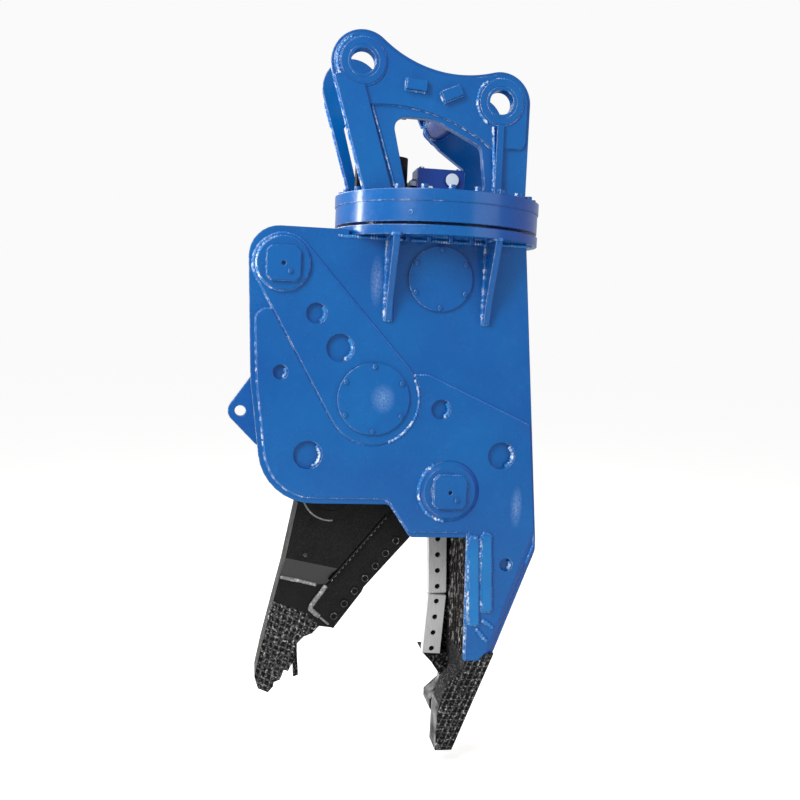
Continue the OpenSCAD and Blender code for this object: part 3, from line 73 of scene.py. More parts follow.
class Graph:
    """A material's node tree, built by calls."""

    def __init__(self, name):
        self.mat = bpy.data.materials.new(name)
        self.mat.use_nodes = True
        self.tree = self.mat.node_tree
        self.shader = self.tree.nodes["Principled BSDF"]
        self.place = self.node("ShaderNodeTexCoord").outputs["Object"]

    def node(self, kind, inputs=None, **props):
        n = self.tree.nodes.new(kind)
        for k, v in props.items():
            setattr(n, k, v)
        for k, v in (inputs or {}).items():
            if isinstance(v, bpy.types.NodeSocket):
                self.tree.links.new(v, n.inputs[k])
            else:
                n.inputs[k].default_value = v
        return n

    def noise(self, scale, detail=3, rough=0.55, stretch=None):
        place = self.place
        if stretch:
            place = self.node("ShaderNodeMapping", {"Vector": place, "Scale": stretch}).outputs[0]
        inputs = {"Vector": place, "Scale": scale, "Detail": detail, "Roughness": rough}
        return self.node("ShaderNodeTexNoise", inputs).outputs[0]

    def ramp(self, value, stops):
        n = self.node("ShaderNodeValToRGB", {"Fac": value})
        el = n.color_ramp.elements
        while len(el) < len(stops):
            el.new(0.5)
        for e, (pos, col) in zip(el, stops):
            e.position = pos
            e.color = col if isinstance(col, tuple) else (col, col, col, 1)
        return n.outputs[0]

    def mix(self, fac, a, b):
        return self.node("ShaderNodeMix", {0: fac, 6: a, 7: b}, data_type="RGBA").outputs[2]

    def math(self, op, a, b=0.0):
        return self.node("ShaderNodeMath", {0: a, 1: b}, operation=op).outputs[0]

    def bump(self, height, strength, distance, normal=None):
        inputs = {"Height": height, "Strength": strength, "Distance": distance}
        if normal is not None:
            inputs["Normal"] = normal
        return self.node("ShaderNodeBump", inputs).outputs[0]

    def soft_edges(self, radius):
        return self.node("ShaderNodeBevel", {"Radius": radius}, samples=4).outputs[0]

    def edges(self, soft):
        """1 on edges, where the softened normal leaves the flat one, else 0."""
        flat = self.node("ShaderNodeNewGeometry").outputs["True Normal"]
        dot = self.node("ShaderNodeVectorMath", {0: soft, 1: flat}, operation="DOT_PRODUCT").outputs["Value"]
        return self.ramp(self.math("SUBTRACT", 1.0, dot), [(0.02, 0.0), (0.12, 1.0)])

    def facing(self, low, high, axis):
        """1 where the part's own normal has from low to high along an axis such as "-Z", else 0."""
        normal = self.node("ShaderNodeTexCoord").outputs["Normal"]
        value = self.node("ShaderNodeSeparateXYZ", {0: normal}).outputs["XYZ".index(axis[1])]
        if axis[0] == "-":
            value = self.math("MULTIPLY", value, -1.0)
        above = self.math("GREATER_THAN", value, low)
        return self.math("MULTIPLY", above, self.math("LESS_THAN", value, high))

    def height(self):
        return self.node("ShaderNodeSeparateXYZ", {0: self.place}).outputs[2]

    def patch(self, x, z, wide, high):
        """1 in the middle of an oval on the X-Z plane, in millimetres, fading to 0 at its rim."""
        move = {"Vector": self.place, "Location": (x * MM, 0, z * MM), "Scale": (wide * MM, 1, high * MM)}
        local = self.node("ShaderNodeMapping", move, vector_type="TEXTURE").outputs[0]
        flat = self.node("ShaderNodeVectorMath", {0: local, 1: (1, 0, 1)}, operation="MULTIPLY").outputs[0]
        away = self.node("ShaderNodeVectorMath", {0: flat}, operation="LENGTH").outputs["Value"]
        return self.ramp(away, [(0.0, 1.0), (1.0, 0.0)])

    def set(self, **sockets):
        names = {"color": "Base Color", "metal": "Metallic", "rough": "Roughness", "normal": "Normal",
                 "coat": "Coat Weight", "coat_rough": "Coat Roughness", "ior": "IOR"}
        for k, v in sockets.items():
            s = self.shader.inputs[names[k]]
            if isinstance(v, bpy.types.NodeSocket):
                self.tree.links.new(v, s)
            else:
                s.default_value = v
        return self.mat


# Painted light and shade on the blue paint: white glints, pale reflections, violet shade
PAINTED_GLINT, SHEEN_BLUE = srgb(236, 244, 252), srgb(146, 178, 226)
BEAD_SHADE, EDGE_SHADE, FACE_SHADE = srgb(10, 52, 146), srgb(22, 58, 156), srgb(22, 36, 146)


def enamel(name, light, dark, rough=0.22, glint=0.0, glint_scale=60, spread=-0.25, sheen_ovals=()):
    """Glossy machine paint with dust, orange peel and soft edges.

    What looks to +X in the world gets painted violet shade. Painted white glints lie on the edges that look
    to -X, or with a `glint` all over where the normal's -X part is above `spread`.
    Each oval given is a pale painted reflection, speckled.
    """
    g = Graph(name)
    patches = g.ramp(g.noise(3.2, 4), [(0.3, 0.0), (0.72, 1.0)])
    col = g.mix(patches, light, dark)
    dust = g.ramp(g.noise(38, 6, 0.7), [(0.56, 0.0), (0.8, 0.28)])
    col = g.mix(dust, col, tuple(min(1, c * 1.5 + 0.02) for c in light[:3]) + (1,))
    # Painted white glints, as specks
    glint_specks = g.ramp(g.noise(glint_scale, 5, 0.7), [(0.5, 0.0), (0.58, 1.0)])
    edge = g.soft_edges(5 * MM)
    side = g.node("ShaderNodeSeparateXYZ", {0: edge}).outputs[0]
    if glint:
        # Beads: painted glints in clusters toward -X, painted violet shade toward +X
        clusters = g.ramp(g.noise(9, 3), [(0.42, 0.35), (0.55, 1.0)])
        left = g.ramp(g.math("MULTIPLY", side, -1.0), [(spread, 0.0), (spread + 0.4, glint)])
        shine = g.math("MULTIPLY", g.math("MULTIPLY", glint_specks, clusters), left)
        col = g.mix(g.ramp(side, [(0.3, 0.0), (0.7, 0.85)]), col, BEAD_SHADE)
    else:
        # Edges: painted glints where they look to -X, painted violet shade where they look to +X
        rim = g.edges(edge)
        lit = g.math("MULTIPLY", rim, g.ramp(g.math("MULTIPLY", side, -1.0), [(0.12, 0.0), (0.4, 1.0)]))
        away = g.math("MULTIPLY", rim, g.ramp(side, [(0.1, 0.0), (0.4, 0.75)]))
        col = g.mix(away, col, EDGE_SHADE)
        shine = g.math("MULTIPLY", lit, g.math("MAXIMUM", glint_specks, 0.3))
    # Painted violet shade on every face that looks to +X
    col = g.mix(g.ramp(side, [(0.15, 0.0), (0.7, 0.55)]), col, FACE_SHADE)
    # Pale painted reflections in the given ovals, speckled
    for oval_at in sheen_ovals:
        sheen_specks = g.math("MULTIPLY", g.patch(*oval_at), g.ramp(g.noise(190, 5, 0.8), [(0.42, 0.1), (0.6, 0.75)]))
        col = g.mix(sheen_specks, col, SHEEN_BLUE)
    col = g.mix(shine, col, PAINTED_GLINT)
    peel = g.bump(g.noise(420, 2), 0.05, 0.4 * MM, edge)
    waves = g.bump(g.noise(26, 3), 0.16, 2 * MM, peel)
    r = g.ramp(g.noise(14, 5, 0.65), [(0.3, rough * 0.7), (0.75, rough * 1.6)])
    return g.set(color=col, rough=r, normal=waves, coat=0.2, coat_rough=0.1, ior=1.4)


def satin(name, light, dark, rough=0.45, ior=1.22):
    """Dull dark paint over steel with scuffs and fine grain; the slope under the cheeks is rubbed grey, with
    a painted highlight.
    """
    g = Graph(name)
    col = g.mix(g.ramp(g.noise(9, 6, 0.7), [(0.35, 0.0), (0.7, 1.0)]), dark, light)
    grain = g.ramp(g.noise(330, 4, 0.8), [(0.5, 0.0), (0.75, 0.45)])
    col = g.mix(grain, col, srgb(84, 83, 82))
    scuff = g.ramp(g.noise(60, 6, 0.75, (1, 1, 0.25)), [(0.66, 0.0), (0.8, 0.25)])
    col = g.mix(scuff, col, srgb(96, 98, 98))
    # The slope under the cheeks lighter grey: rubbed, and a painted highlight where it catches light
    rubbed = g.math("MULTIPLY", g.facing(0.12, 0.6, "-Z"), g.facing(0.75, 0.99, "-Y"))
    col = g.mix(g.math("MULTIPLY", rubbed, 0.7), col, srgb(78, 79, 78))
    edge = g.soft_edges(2 * MM)
    n = g.bump(g.noise(170, 4, 0.7), 0.25, 0.8 * MM, edge)
    r = g.ramp(g.noise(22, 4), [(0.3, rough * 0.8), (0.7, rough * 1.3)])
    return g.set(color=col, rough=r, normal=n, ior=ior)


def steel(name, light, dark, rough=0.35, stretch=(1, 1, 0.04), metal=0.55):
    """Ground or turned steel with fine lines and a few stains."""
    g = Graph(name)
    lines = g.noise(500, 3, 0.6, stretch)
    col = g.mix(g.ramp(lines, [(0.35, 0.0), (0.65, 1.0)]), dark, light)
    stain = g.ramp(g.noise(17, 6, 0.7), [(0.6, 0.0), (0.85, 0.4)])
    col = g.mix(stain, col, srgb(120, 118, 112))
    n = g.bump(lines, 0.12, 0.3 * MM, g.soft_edges(1.2 * MM))
    return g.set(color=col, rough=g.ramp(lines, [(0.3, rough), (0.7, rough * 1.35)]), metal=metal, normal=n)


def crust(name, light, dark, spots, stretch=(1, 1, 1), fine=110, worn=0.0, worn_below=-2.15):
    """Rough weld deposit, its bright specks partly painted glints; `worn` rubs -X faces below `worn_below`
    metres.
    """
    g = Graph(name)
    grain = g.noise(150, 6, 0.75)
    col = g.mix(g.ramp(grain, [(0.35, 0.0), (0.68, 1.0)]), dark, light)
    # Bright specks, partly painted glints
    specks_and_glints = g.ramp(g.noise(fine, 4, 0.75, stretch), [(0.54, 0.0), (0.66, spots)])
    col = g.mix(specks_and_glints, col, srgb(216, 216, 216))
    if worn:
        side = g.math("MULTIPLY", g.facing(0.3, 1.1, "-X"), g.math("LESS_THAN", g.height(), worn_below))
        rubbed = g.math("MULTIPLY", side, g.ramp(g.noise(11, 4), [(0.38, 0.0), (0.58, worn)]))
        col = g.mix(rubbed, col, srgb(176, 176, 176))
    n = g.bump(grain, 0.6, 2.2 * MM, g.bump(g.noise(45, 3), 0.5, 3 * MM))
    return g.set(color=col, rough=g.ramp(grain, [(0.3, 0.35), (0.7, 0.62)]), metal=0.0, normal=n, ior=1.2)


def fitting(name, body, pale_front):
    """Dark fittings, pale on the faces that look to -Y."""
    g = Graph(name)
    col = g.mix(g.facing(0.7, 1.1, "-Y"), body, pale_front)
    return g.set(color=col, rough=0.3, normal=g.soft_edges(2 * MM))


# Pale painted reflections in ovals on the paint: centre x and z, half width and half height, in millimetres
SHEEN_OVALS = ((110, -1088, 44, 52), (75, -700, 24, 90), (590, -1448, 22, 78))

BLUE = enamel("blue_enamel", srgb(1, 99, 171), srgb(0, 84, 159), sheen_ovals=SHEEN_OVALS)
# Bead and bar paints: lighter blues, partly painted sheen, with painted white glints toward -X and painted
# violet shade toward +X
BLUE_BEAD = enamel("blue_weld", srgb(40, 128, 206), srgb(12, 96, 176), 0.12, 0.9)
GLINT_BEAD = enamel("bright_weld", srgb(52, 140, 210), srgb(20, 104, 184), 0.1, 0.95, 34, -0.9)
BAR = enamel("blue_bar", srgb(16, 128, 196), srgb(0, 98, 174), 0.14, 0.5, 30)
# Dark blue, also painted shade: on the ring in the shaded bearing gap and on the cross tube inside the head
BLUE_DARK = enamel("blue_dark", srgb(14, 72, 160), srgb(10, 56, 142), 0.3)
CHARCOAL = satin("charcoal", srgb(24, 25, 25), srgb(12, 13, 13), 0.42)
BLADE = steel("blade_steel", srgb(228, 228, 228), srgb(204, 204, 204), metal=0.0)
TURNED = steel("turned_steel", srgb(172, 174, 178), srgb(128, 131, 136), 0.3, metal=0.8)
CRUST = crust("hardfacing", srgb(26, 26, 27), srgb(4, 4, 5), 0.35)
# Hardfacing beads: lighter than the crust, fully specked, partly painted glints on their crowns
RIDGE = crust("hardfacing_ridge", srgb(92, 92, 93), srgb(26, 26, 27), 1.0)
LINER = crust("wear_liner", srgb(44, 40, 38), srgb(3, 3, 3), 0.8, (1, 1, 0.3), 130)
TIP = crust("tip_hardfacing", srgb(26, 26, 27), srgb(4, 4, 5), 0.35, worn=0.9)
FITTING = fitting("oil_fittings", srgb(22, 34, 84), srgb(240, 248, 250))
# Near-black painted shadow for the jaw's groove
GROOVE_SHADOW = satin("painted_groove_shadow", srgb(2, 2, 2), srgb(1, 1, 1), 0.8, 1.03)
# Pale worn weld steel, lighter with painted highlights
WORN_AND_GLINT = crust("worn_glinting_weld", srgb(176, 176, 176), srgb(84, 84, 84), 1.0, fine=40)

LOOKS = {
    "blue_paint": BLUE, "dark_paint": BLUE_DARK, "machined_steel": TURNED,
    "hardfacing": CRUST, "charcoal_paint": CHARCOAL, "blade_steel": BLADE,
}
OWN_LOOKS = {
    "wear_liner": LINER, "wear_bars": BAR, "hose_fittings": FITTING, "fixed_tip": TIP,
    # The cross tube inside the head: dark blue as painted shade
    "head_cross_tube": BLUE_DARK,
}


def dress_cad():
    slots = {s["node"]: s["material_slot"] for s in frame["record"]["subparts"]}
    for name in frame["nodes"]:
        obj = bpy.data.objects[name]
        obj.data.materials.clear()
        obj.data.materials.append(OWN_LOOKS.get(name, LOOKS[slots[name]]))


dress_cad()


# Finding a CAD node's edges, so that beads lie on them
def loops_on(node, axis, value, sharp=0.3, tol=0.05 * MM):
    """Closed outlines formed by a node's sharp edges in the plane where coordinate `axis` is `value`."""
    bm = bmesh.new()
    bm.from_mesh(frame["nodes"][node].data)
    bmesh.ops.remove_doubles(bm, verts=bm.verts, dist=0.01 * MM)
    links = {}
    for e in bm.edges:
        flat = all(abs(v.co[axis] - value) < tol for v in e.verts)
        if flat and len(e.link_faces) == 2 and e.calc_face_angle(0) > sharp:
            a, b = e.verts
            links.setdefault(a.index, []).append(b.index)
            links.setdefault(b.index, []).append(a.index)
    co = {v.index: v.co.copy() for v in bm.verts}
    bm.free()
    loops, used = [], set()
    for start in sorted(links):
        if start in used:
            continue
        loop, here, last = [start], start, None
        used.add(start)
        while True:
            ahead = [n for n in links[here] if n != last and n not in used]
            if not ahead:
                break
            last, here = here, ahead[0]
            used.add(here)
            loop.append(here)
        if len(loop) > 2:
            loops.append([co[i] for i in loop])
    return loops


def length_of(pts, closed=True):
    ends = pts[1:] + pts[:1] if closed else pts[1:]
    return sum((b - a).length for a, b in zip(pts, ends))


def spaced(pts, step, closed):
    """Points at an even step along a line, each with its distance from the start."""
    ring = pts + pts[:1] if closed else pts
    total = length_of(ring, False)
    count = max(2, round(total / step))
    out, seg, done = [], 0, 0.0
    for i in range(count + (0 if closed else 1)):
        want = total * i / count
        while seg < len(ring) - 2 and done + (ring[seg + 1] - ring[seg]).length < want - 1e-9:
            done += (ring[seg + 1] - ring[seg]).length
            seg += 1
        run = ring[seg + 1] - ring[seg]
        share = min(1.0, (want - done) / run.length) if run.length else 0.0
        out.append((ring[seg] + run * share, want))
    return out


class Beads:
    """Weld beads that ride on one body, gathered into one mesh."""

    def __init__(self, name, body, mat, slot):
        self.name, self.body, self.mat, self.slot = name, body, mat, slot
        self.verts, self.faces = [], []
        self.rng = random.Random(name)

    def lay(self, pts, out, r, pitch=9 * MM, closed=False, sides=8, ripple=0.16, wander=0.08, squash=1.0):
        """A rippled round bead along pts; `out` is the way it stands off its plane."""
        steps = spaced(pts, pitch / 4, closed)
        rows = []
        n = len(steps)
        drift = 0.0
        for i, (p, s) in enumerate(steps):
            before = steps[i - 1][0] if i or closed else p
            after = steps[(i + 1) % n][0] if i + 1 < n or closed else p
            run = (after - before).normalized()
            side = run.cross(out).normalized()
            wave = (s / pitch) % 1.0
            drift = 0.85 * drift + 0.15 * self.rng.uniform(-1, 1)
            rr = r * (1 - ripple + ripple * math.sin(math.pi * wave) ** 0.7 + wander * drift)
            centre = p + side * (r * wander * drift)
            if not closed and (i == 0 or i == n - 1):
                rr *= 0.35
            rows.append([centre + side * (rr * math.cos(a)) + out * (rr * squash * math.sin(a))
                         for a in (2 * math.pi * k / sides for k in range(sides))])
        base = len(self.verts)
        for row in rows:
            self.verts += row
        for i in range(n if closed else n - 1):
            a, b = base + i * sides, base + ((i + 1) % n) * sides
            for k in range(sides):
                m = (k + 1) % sides
                self.faces.append((a + k, a + m, b + m, b + k))
        if not closed:
            self.faces.append(tuple(base + k for k in reversed(range(sides))))
            self.faces.append(tuple(base + (n - 1) * sides + k for k in range(sides)))

    def rings(self, node, axis, value, out, r, keep=None, bare=None, **more):
        """Beads round a node's outline in a plane; where bare(point) is true, there is none."""
        for loop in loops_on(node, axis, value):
            if keep is not None and not keep(loop):
                continue
            if bare is None:
                self.lay(loop, out, r, closed=True, **more)
                continue
            pts = [p for p, _ in spaced(loop, 10 * MM, True)]
            start = next((i for i, p in enumerate(pts) if bare(p)), 0)
            runs = [[]]
            for p in pts[start:] + pts[:start]:
                if bare(p):
                    runs.append([])
                else:
                    runs[-1].append(p)
            for run in runs:
                if len(run) > 2:
                    self.lay(run, out, r, **more)

    def done(self):
        mesh = bpy.data.meshes.new(self.name)
        mesh.from_pydata(self.verts, [], self.faces)
        mesh.validate()
        bm = bmesh.new()
        bm.from_mesh(mesh)
        bmesh.ops.recalc_face_normals(bm, faces=bm.faces)
        bm.to_mesh(mesh)
        bm.free()
        mesh.polygons.foreach_set("use_smooth", [True] * len(mesh.polygons))
        mesh.materials.append(self.mat)
        obj = bpy.data.objects.new(self.name, mesh)
        bpy.context.scene.collection.objects.link(obj)
        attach(obj, self.body)


NEAR, FAR = Vector((0, -1, 0)), Vector((0, 1, 0))
UP, DOWN = Vector((0, 0, 1)), Vector((0, 0, -1))
SIDES = ((-1, NEAR, "near"), (1, FAR, "far"))


def hatch(loop, angle, gap, inset):
    """Parallel stretches across a flat [x, z] outline: a list of (start, end)."""
    d = (math.cos(angle), math.sin(angle))
    n = (-d[1], d[0])
    high = [p[0] * n[0] + p[1] * n[1] for p in loop]
    out = []
    k = math.ceil(min(high) / gap)
    while k * gap < max(high):
        level = k * gap
        cuts = []
        for a, b in zip(loop, loop[1:] + loop[:1]):
            ha, hb = a[0] * n[0] + a[1] * n[1] - level, b[0] * n[0] + b[1] * n[1] - level
            if (ha > 0) != (hb > 0):
                t = ha / (ha - hb)
                x, z = a[0] + t * (b[0] - a[0]), a[1] + t * (b[1] - a[1])
                cuts.append(x * d[0] + z * d[1])
        cuts.sort()
        for a, b in zip(cuts[::2], cuts[1::2]):
            if b - a > 2 * inset + gap / 3:
                ends = (a + inset, b - inset)
                out.append([(d[0] * s + n[0] * level, d[1] * s + n[1] * level) for s in ends])
        k += 1
    return out


# Places read from the photograph and the solids, in millimetres on the X-Z plane
ARM_PIN, LINK_PIN = (0, 0), (463, -95)
CYL_PIN, MAIN_PIVOT, ROD_PIN = (-233, -658), (350, -1397), (-40, -1423)
# Faces that welds lie on, as distances from the middle plane
PLATE_OUT, DOUBLER_OUT, KEEPER_OUT, WALL_OUT = 187, 197, 213, 155
HEAD_OUT, COLLAR_OUT, TUBE_END = 195, 205, 165
# The slewing ring's axis and radius, its grease port, and the heights of the welds near it
RING_X, RING_R, PORT_TURN, PORT_Z = 300, 353, -114.0, -484
BASE_SEAM, RING_SEAM, GUSSET_SEAM, FLANGE_SEAM = -408, -445, -552, -559
# Outline lengths in metres: a plate's outer edge and a keeper's are longer, a hole's is shorter
PLATE_EDGE, KEEPER_EDGE, HOLE_EDGE, SMALL_EDGE = 1.2, 0.3, 0.5, 0.25
# The uneven run of a heavy weld
ROUGH = {"ripple": 0.35, "wander": 0.3}


def circle(centre, r, y, a0=0, a1=360, count=72):
    full = abs(a1 - a0) >= 360
    return [Vector((centre[0] + r * math.cos(a), y, centre[1] + r * math.sin(a))) * MM
            for a in (math.radians(a0 + (a1 - a0) * k / count) for k in range(count if full else count + 1))]


def line(side_y, *places):
    return [Vector((x, side_y, z)) * MM for x, z in places]


def weld_head():
    b = Beads("head_welds", "head", BLUE_BEAD, "blue_paint")
    for side, out, word in SIDES:
        y = side * HEAD_OUT * MM
        b.rings("head_doubler_" + word, 1, y, out, 3.2 * MM)
        b.rings("head_ribs_" + word, 1, y, out, 5 * MM, pitch=7 * MM)
        b.rings("head_side_plate_" + word, 2, BASE_SEAM * MM, UP, 6 * MM)
        for at in (ARM_PIN, LINK_PIN):
            b.lay(circle(at, 75.5, side * COLLAR_OUT), out, 4.5 * MM, closed=True)
    b.rings("head_cross_tube", 1, -TUBE_END * MM, FAR, 5 * MM)
    b.rings("head_cross_tube", 1, TUBE_END * MM, NEAR, 5 * MM)
    seam_r = RING_R + 1
    ring = [Vector((RING_X + seam_r * math.cos(a), seam_r * math.sin(a), RING_SEAM)) * MM
            for a in (2 * math.pi * k / 180 for k in range(180))]
    b.lay(ring, UP, 1.8 * MM, pitch=14 * MM, closed=True, sides=6)
    turn = math.radians(PORT_TURN)
    face = Vector((math.cos(turn), math.sin(turn), 0))
    port = Vector((RING_X, 0, PORT_Z)) * MM + face * (RING_R * MM)
    wide = face.cross(UP)
    rim = [port + (wide * math.cos(t) + UP * math.sin(t)) * (7 * MM)
           for t in (math.pi * k / 12 for k in range(24))]
    b.lay(rim, face, 2.2 * MM, closed=True, ripple=0)
    b.done()
    # Heavy welds with painted white glints all round, laid where glints show on the head
    b = Beads("head_bright_welds", "head", GLINT_BEAD, "blue_paint")
    b.lay(line(-HEAD_OUT - 2, (17, -75), (120, -391)), NEAR, 5 * MM, ripple=0.35, wander=0.2)
    heavy = {"r": 7 * MM, "pitch": 12 * MM, **ROUGH}
    for side, out, _ in SIDES:
        y = side * COLLAR_OUT
        b.lay(circle(ARM_PIN, 83, y, 115, 235), out, **heavy)
        b.lay(circle(LINK_PIN, 80, y, 125, 240), out, **heavy)
        b.lay(line(y, (440, -173), (456, -372)), out, **heavy)
        b.rings("link_stop_blocks", 1, y * MM, out, 5 * MM, pitch=9 * MM, ripple=0.35)
    b.done()


def plate_edge(loop):
    return length_of(loop) > PLATE_EDGE


def weld_frame():
    b = Beads("frame_welds", "frame", BLUE_BEAD, "blue_paint")
    for side, out, word in SIDES:
        y = side * PLATE_OUT * MM
        b.rings("strut_doubler_" + word, 1, y, out, 7 * MM, keep=plate_edge)
        b.rings("lower_doubler_" + word, 1, y, out, 6.5 * MM, keep=plate_edge,
                bare=lambda p: p.z < -1.65 and p.x > 0.45)
        b.rings("flange_gussets", 1, y, out, 8 * MM, pitch=10 * MM)
        b.lay(circle(CYL_PIN, 86.5, side * DOUBLER_OUT), out, 6 * MM, closed=True)
        b.lay(circle(MAIN_PIVOT, 94, side * DOUBLER_OUT), out, 4 * MM, closed=True)
        for node in ("pivot_keepers", "cylinder_pin_keepers"):
            b.rings(node, 1, side * KEEPER_OUT * MM, out, 3.2 * MM,
                    keep=lambda lp: length_of(lp) > KEEPER_EDGE)
        for node in ("back_plate", "front_plate"):
            b.rings(node, 1, side * WALL_OUT * MM, -out, 6 * MM)
    b.rings("flange_gussets", 2, GUSSET_SEAM * MM, DOWN, 6 * MM)
    b.done()
    # Heavy welds with painted white glints all round, laid where glints show on the frame
    b = Beads("frame_bright_welds", "frame", GLINT_BEAD, "blue_paint")
    heavy = {"r": 9 * MM, "pitch": 13 * MM, **ROUGH}
    for side, out, word in SIDES:
        y = side * DOUBLER_OUT
        b.rings("wear_bars", 1, y * MM, out, 9 * MM, pitch=12 * MM, ripple=0.3, wander=0.25)
        b.lay(circle(CYL_PIN, 84, y, 125, 240), out, **heavy)
        b.lay(circle(MAIN_PIVOT, 103, y, 120, 265), out, **heavy)
        for run in (((468, -1876), (490, -1898), (511, -1923)), ((488, -1844), (510, -1858), (532, -1877)),
                    ((430, -1553), (462, -1556)), ((474, -1543), (506, -1549))):
            b.lay(line(y, *run), out, **heavy)
        b.lay(line(side * PLATE_OUT, (-59, FLANGE_SEAM), (600, FLANGE_SEAM)), out, 6 * MM, **ROUGH)
        b.rings("strut_doubler_" + word, 1, y * MM, out, 6 * MM, pitch=13 * MM, **ROUGH,
                keep=plate_edge, bare=lambda p: p.x < 0.13 or p.z > -1.02)
        # In each doubler hole, a bead arc on the +X side only, where the wall faces -X: a painted highlight
        for node in ("strut_doubler_", "lower_doubler_"):
            for hole in loops_on(node + word, 1, y * MM):
                if length_of(hole) < HOLE_EDGE:
                    middle = sum(hole, Vector()) / len(hole) / MM
                    inner = length_of(hole) / MM / math.tau - 5
                    arc = circle((middle.x, middle.z), inner, side * (PLATE_OUT + 3), -70, 50, 24)
                    b.lay(arc, out, **heavy)
    b.done()


def weld_jaw():
    """Pale welds on the moving jaw's near face, worn and with painted highlights, and painted shadow in its
    groove.
    """
    b = Beads("jaw_welds", "jaw", WORN_AND_GLINT, "blade_steel")
    b.lay(circle(ROD_PIN, 99, -96, 185, 275, 40), NEAR, 4.5 * MM)
    b.lay(line(-72, (-204, -1729), (-140, -1742), (-78, -1757)), NEAR, 6.5 * MM)
    b.lay(line(-79, (-44, -1757), (-93, -1828), (-97, -1840), (-84, -1852), (-64, -1869)), NEAR, 9 * MM,
          ripple=0.2, wander=0.2)
    b.lay(line(-79, (-64, -1869), (-30, -1896)), NEAR, 4 * MM)
    # Painted highlight on the strip's lit edge: a dashed line of short pale beads
    glint_dashes = 16
    for k in range(glint_dashes):
        at = [p + (q - p) * (k + 0.3) / glint_dashes for p, q in zip((162, -1510), (-30, -1745))]
        b.lay(line(-80, at, (at[0] - 6, at[1] - 7.4)), NEAR, 1.8 * MM)
    b.done()
    # A near-black bead laid in the groove as its painted shadow
    b = Beads("jaw_groove", "jaw", GROOVE_SHADOW, "charcoal_paint")
    b.lay(line(-90, (156, -1500), (-36, -1735)), NEAR, 8 * MM, ripple=0.05)
    b.done()


def ring_bolts():
    """Pale rings round the blade bolts, worn rims with painted glints, and the small plug on the cheek."""
    b = Beads("jaw_bolt_rings", "jaw", RIDGE, "charcoal_paint")
    first, last, gaps = (194.2, -1595.55), (-13.85, -1865.35), 6
    for k in range(gaps + 1):
        at = [p + (q - p) * k / gaps for p, q in zip(first, last)]
        b.lay(circle(at, 11, -85.6), NEAR, 1.4 * MM, closed=True, ripple=0.05)
    b.lay(circle((-121, -1645), 4, -96), NEAR, 3 * MM, closed=True, ripple=0)
    b.done()


def hardface(name, body, node, planes, families):
    """Weld beads in crossed lines over a node's faces; a family is an angle, a gap and a radius."""
    b = Beads(name, body, RIDGE, "hardfacing")
    cuts = 12
    for y, out in planes:
        for loop in loops_on(node, 1, y * MM, sharp=0.5):
            if length_of(loop) < SMALL_EDGE:
                continue
            flat = [(p.x, p.z) for p in loop]
            for angle, gap, r in families:
                for a, c in hatch(flat, math.radians(angle), gap * MM, inset=3 * MM):
                    pts = [Vector((a[0] + (c[0] - a[0]) * k / cuts, y * MM, a[1] + (c[1] - a[1]) * k / cuts))
                           for k in range(cuts + 1)]
                    b.lay(pts, out, r * MM, pitch=10 * MM, ripple=0.35, wander=0.4, sides=6, squash=0.8)
    b.done()


weld_head()
weld_frame()
weld_jaw()
ring_bolts()
hardface("moving_tip_beads", "jaw", "moving_tip", ((-70, NEAR),), ((-27, 21, 3.6), (-103, 21, 3.6)))
hardface("fixed_tip_beads", "frame", "fixed_tip", ((-197, NEAR), (197, FAR)), ((-112, 20, 3), (-2, 24, 1.8)))


# Lights and stage. BACKDROP and FLOOR_GLOW are seen by the camera and don't light the part.
PART_MIDDLE = (0.2, 0, -1.1)
WHITE = (1, 1, 1, 1)
SKY_COLOUR, SKY_LIGHT, BACKDROP = (0.9, 0.93, 1.0, 1), 0.55, 0.955
FLOOR_Z, FLOOR_REACH, FLOOR_GLOW, FLOOR_COLOUR = -2.36, 40, 0.54, (0.84, 0.81, 0.75, 1)


def area(name, at, target, size, power, size_y=None):
    data = bpy.data.lights.new(name, "AREA")
    data.energy, data.size = power, size
    if size_y:
        data.shape, data.size_y = "RECTANGLE", size_y
    lamp = bpy.data.objects.new(name, data)
    lamp.location = at
    lamp.rotation_euler = (Vector(target) - Vector(at)).to_track_quat("-Z", "Y").to_euler()
    bpy.context.scene.collection.objects.link(lamp)


def seen_only(tree):
    """1 for rays from the camera or through clear things, else 0."""
    path = tree.nodes.new("ShaderNodeLightPath")
    either = tree.nodes.new("ShaderNodeMath")
    either.operation = "MAXIMUM"
    tree.links.new(path.outputs["Is Camera Ray"], either.inputs[0])
    tree.links.new(path.outputs["Is Transmission Ray"], either.inputs[1])
    return either.outputs[0]


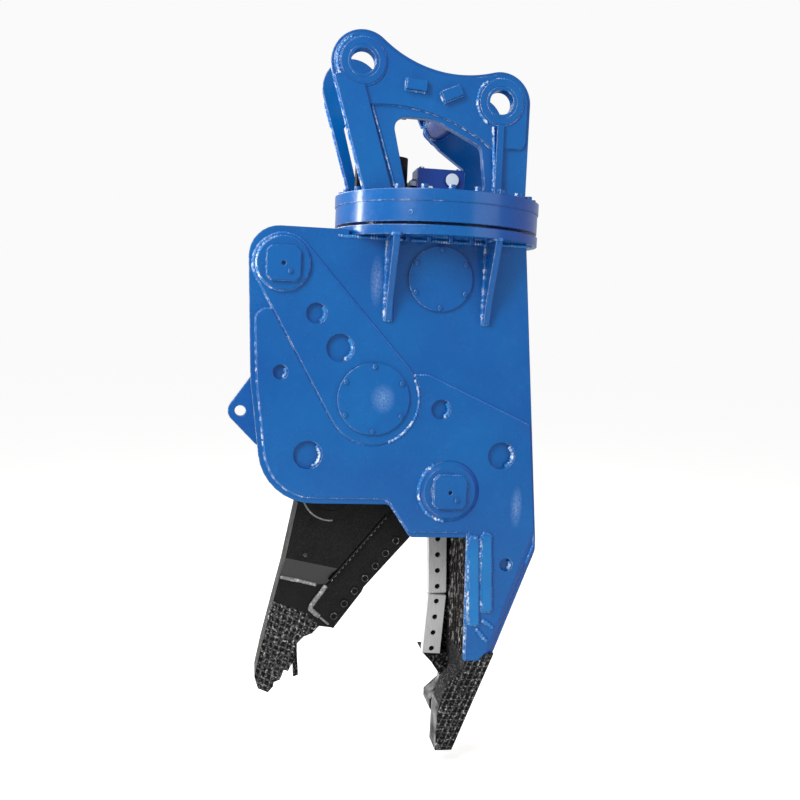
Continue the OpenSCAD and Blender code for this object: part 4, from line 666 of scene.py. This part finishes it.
def light_scene():
    area("key", (-2.6, -3.4, 1.6), PART_MIDDLE, 1.6, 150, 2.6)
    area("fill", (3.2, -3.0, -0.2), PART_MIDDLE, 2.2, 26, 3.0)
    area("rim", (-1.5, 3.0, 1.5), PART_MIDDLE, 2.0, 60)
    area("strip", (-3.4, 0.75, -0.3), PART_MIDDLE, 0.45, 110, 2.8)
    world = bpy.data.worlds.new("studio")
    bpy.context.scene.world = world
    world.use_nodes = True
    t = world.node_tree
    back = t.nodes["Background"]
    back.inputs["Color"].default_value = SKY_COLOUR
    back.inputs["Strength"].default_value = SKY_LIGHT
    seen = t.nodes.new("ShaderNodeBackground")
    seen.inputs["Color"].default_value = WHITE
    seen.inputs["Strength"].default_value = BACKDROP
    pick = t.nodes.new("ShaderNodeMixShader")
    t.links.new(seen_only(t), pick.inputs[0])
    t.links.new(back.outputs[0], pick.inputs[1])
    t.links.new(seen.outputs[0], pick.inputs[2])
    t.links.new(pick.outputs[0], t.nodes["World Output"].inputs[0])


def make_floor():
    """A plain pale floor that keeps the part's soft shadow."""
    corners = [(x * FLOOR_REACH, y * FLOOR_REACH, FLOOR_Z) for x, y in ((-1, -1), (1, -1), (1, 1), (-1, 1))]
    mesh = bpy.data.meshes.new("floor")
    mesh.from_pydata(corners, [], [(0, 1, 2, 3)])
    mat = bpy.data.materials.new("floor_white")
    mat.use_nodes = True
    t = mat.node_tree
    t.nodes.clear()
    dull = t.nodes.new("ShaderNodeBsdfDiffuse")
    dull.inputs["Color"].default_value = FLOOR_COLOUR
    glow = t.nodes.new("ShaderNodeEmission")
    glow.inputs["Color"].default_value = WHITE
    lift = t.nodes.new("ShaderNodeMath")
    lift.operation = "MULTIPLY"
    lift.inputs[1].default_value = FLOOR_GLOW
    both = t.nodes.new("ShaderNodeAddShader")
    end = t.nodes.new("ShaderNodeOutputMaterial")
    t.links.new(seen_only(t), lift.inputs[0])
    t.links.new(lift.outputs[0], glow.inputs["Strength"])
    t.links.new(dull.outputs[0], both.inputs[0])
    t.links.new(glow.outputs[0], both.inputs[1])
    t.links.new(both.outputs[0], end.inputs[0])
    mesh.materials.append(mat)
    obj = bpy.data.objects.new("floor", mesh)
    bpy.context.scene.collection.objects.link(obj)


make_floor()
light_scene()
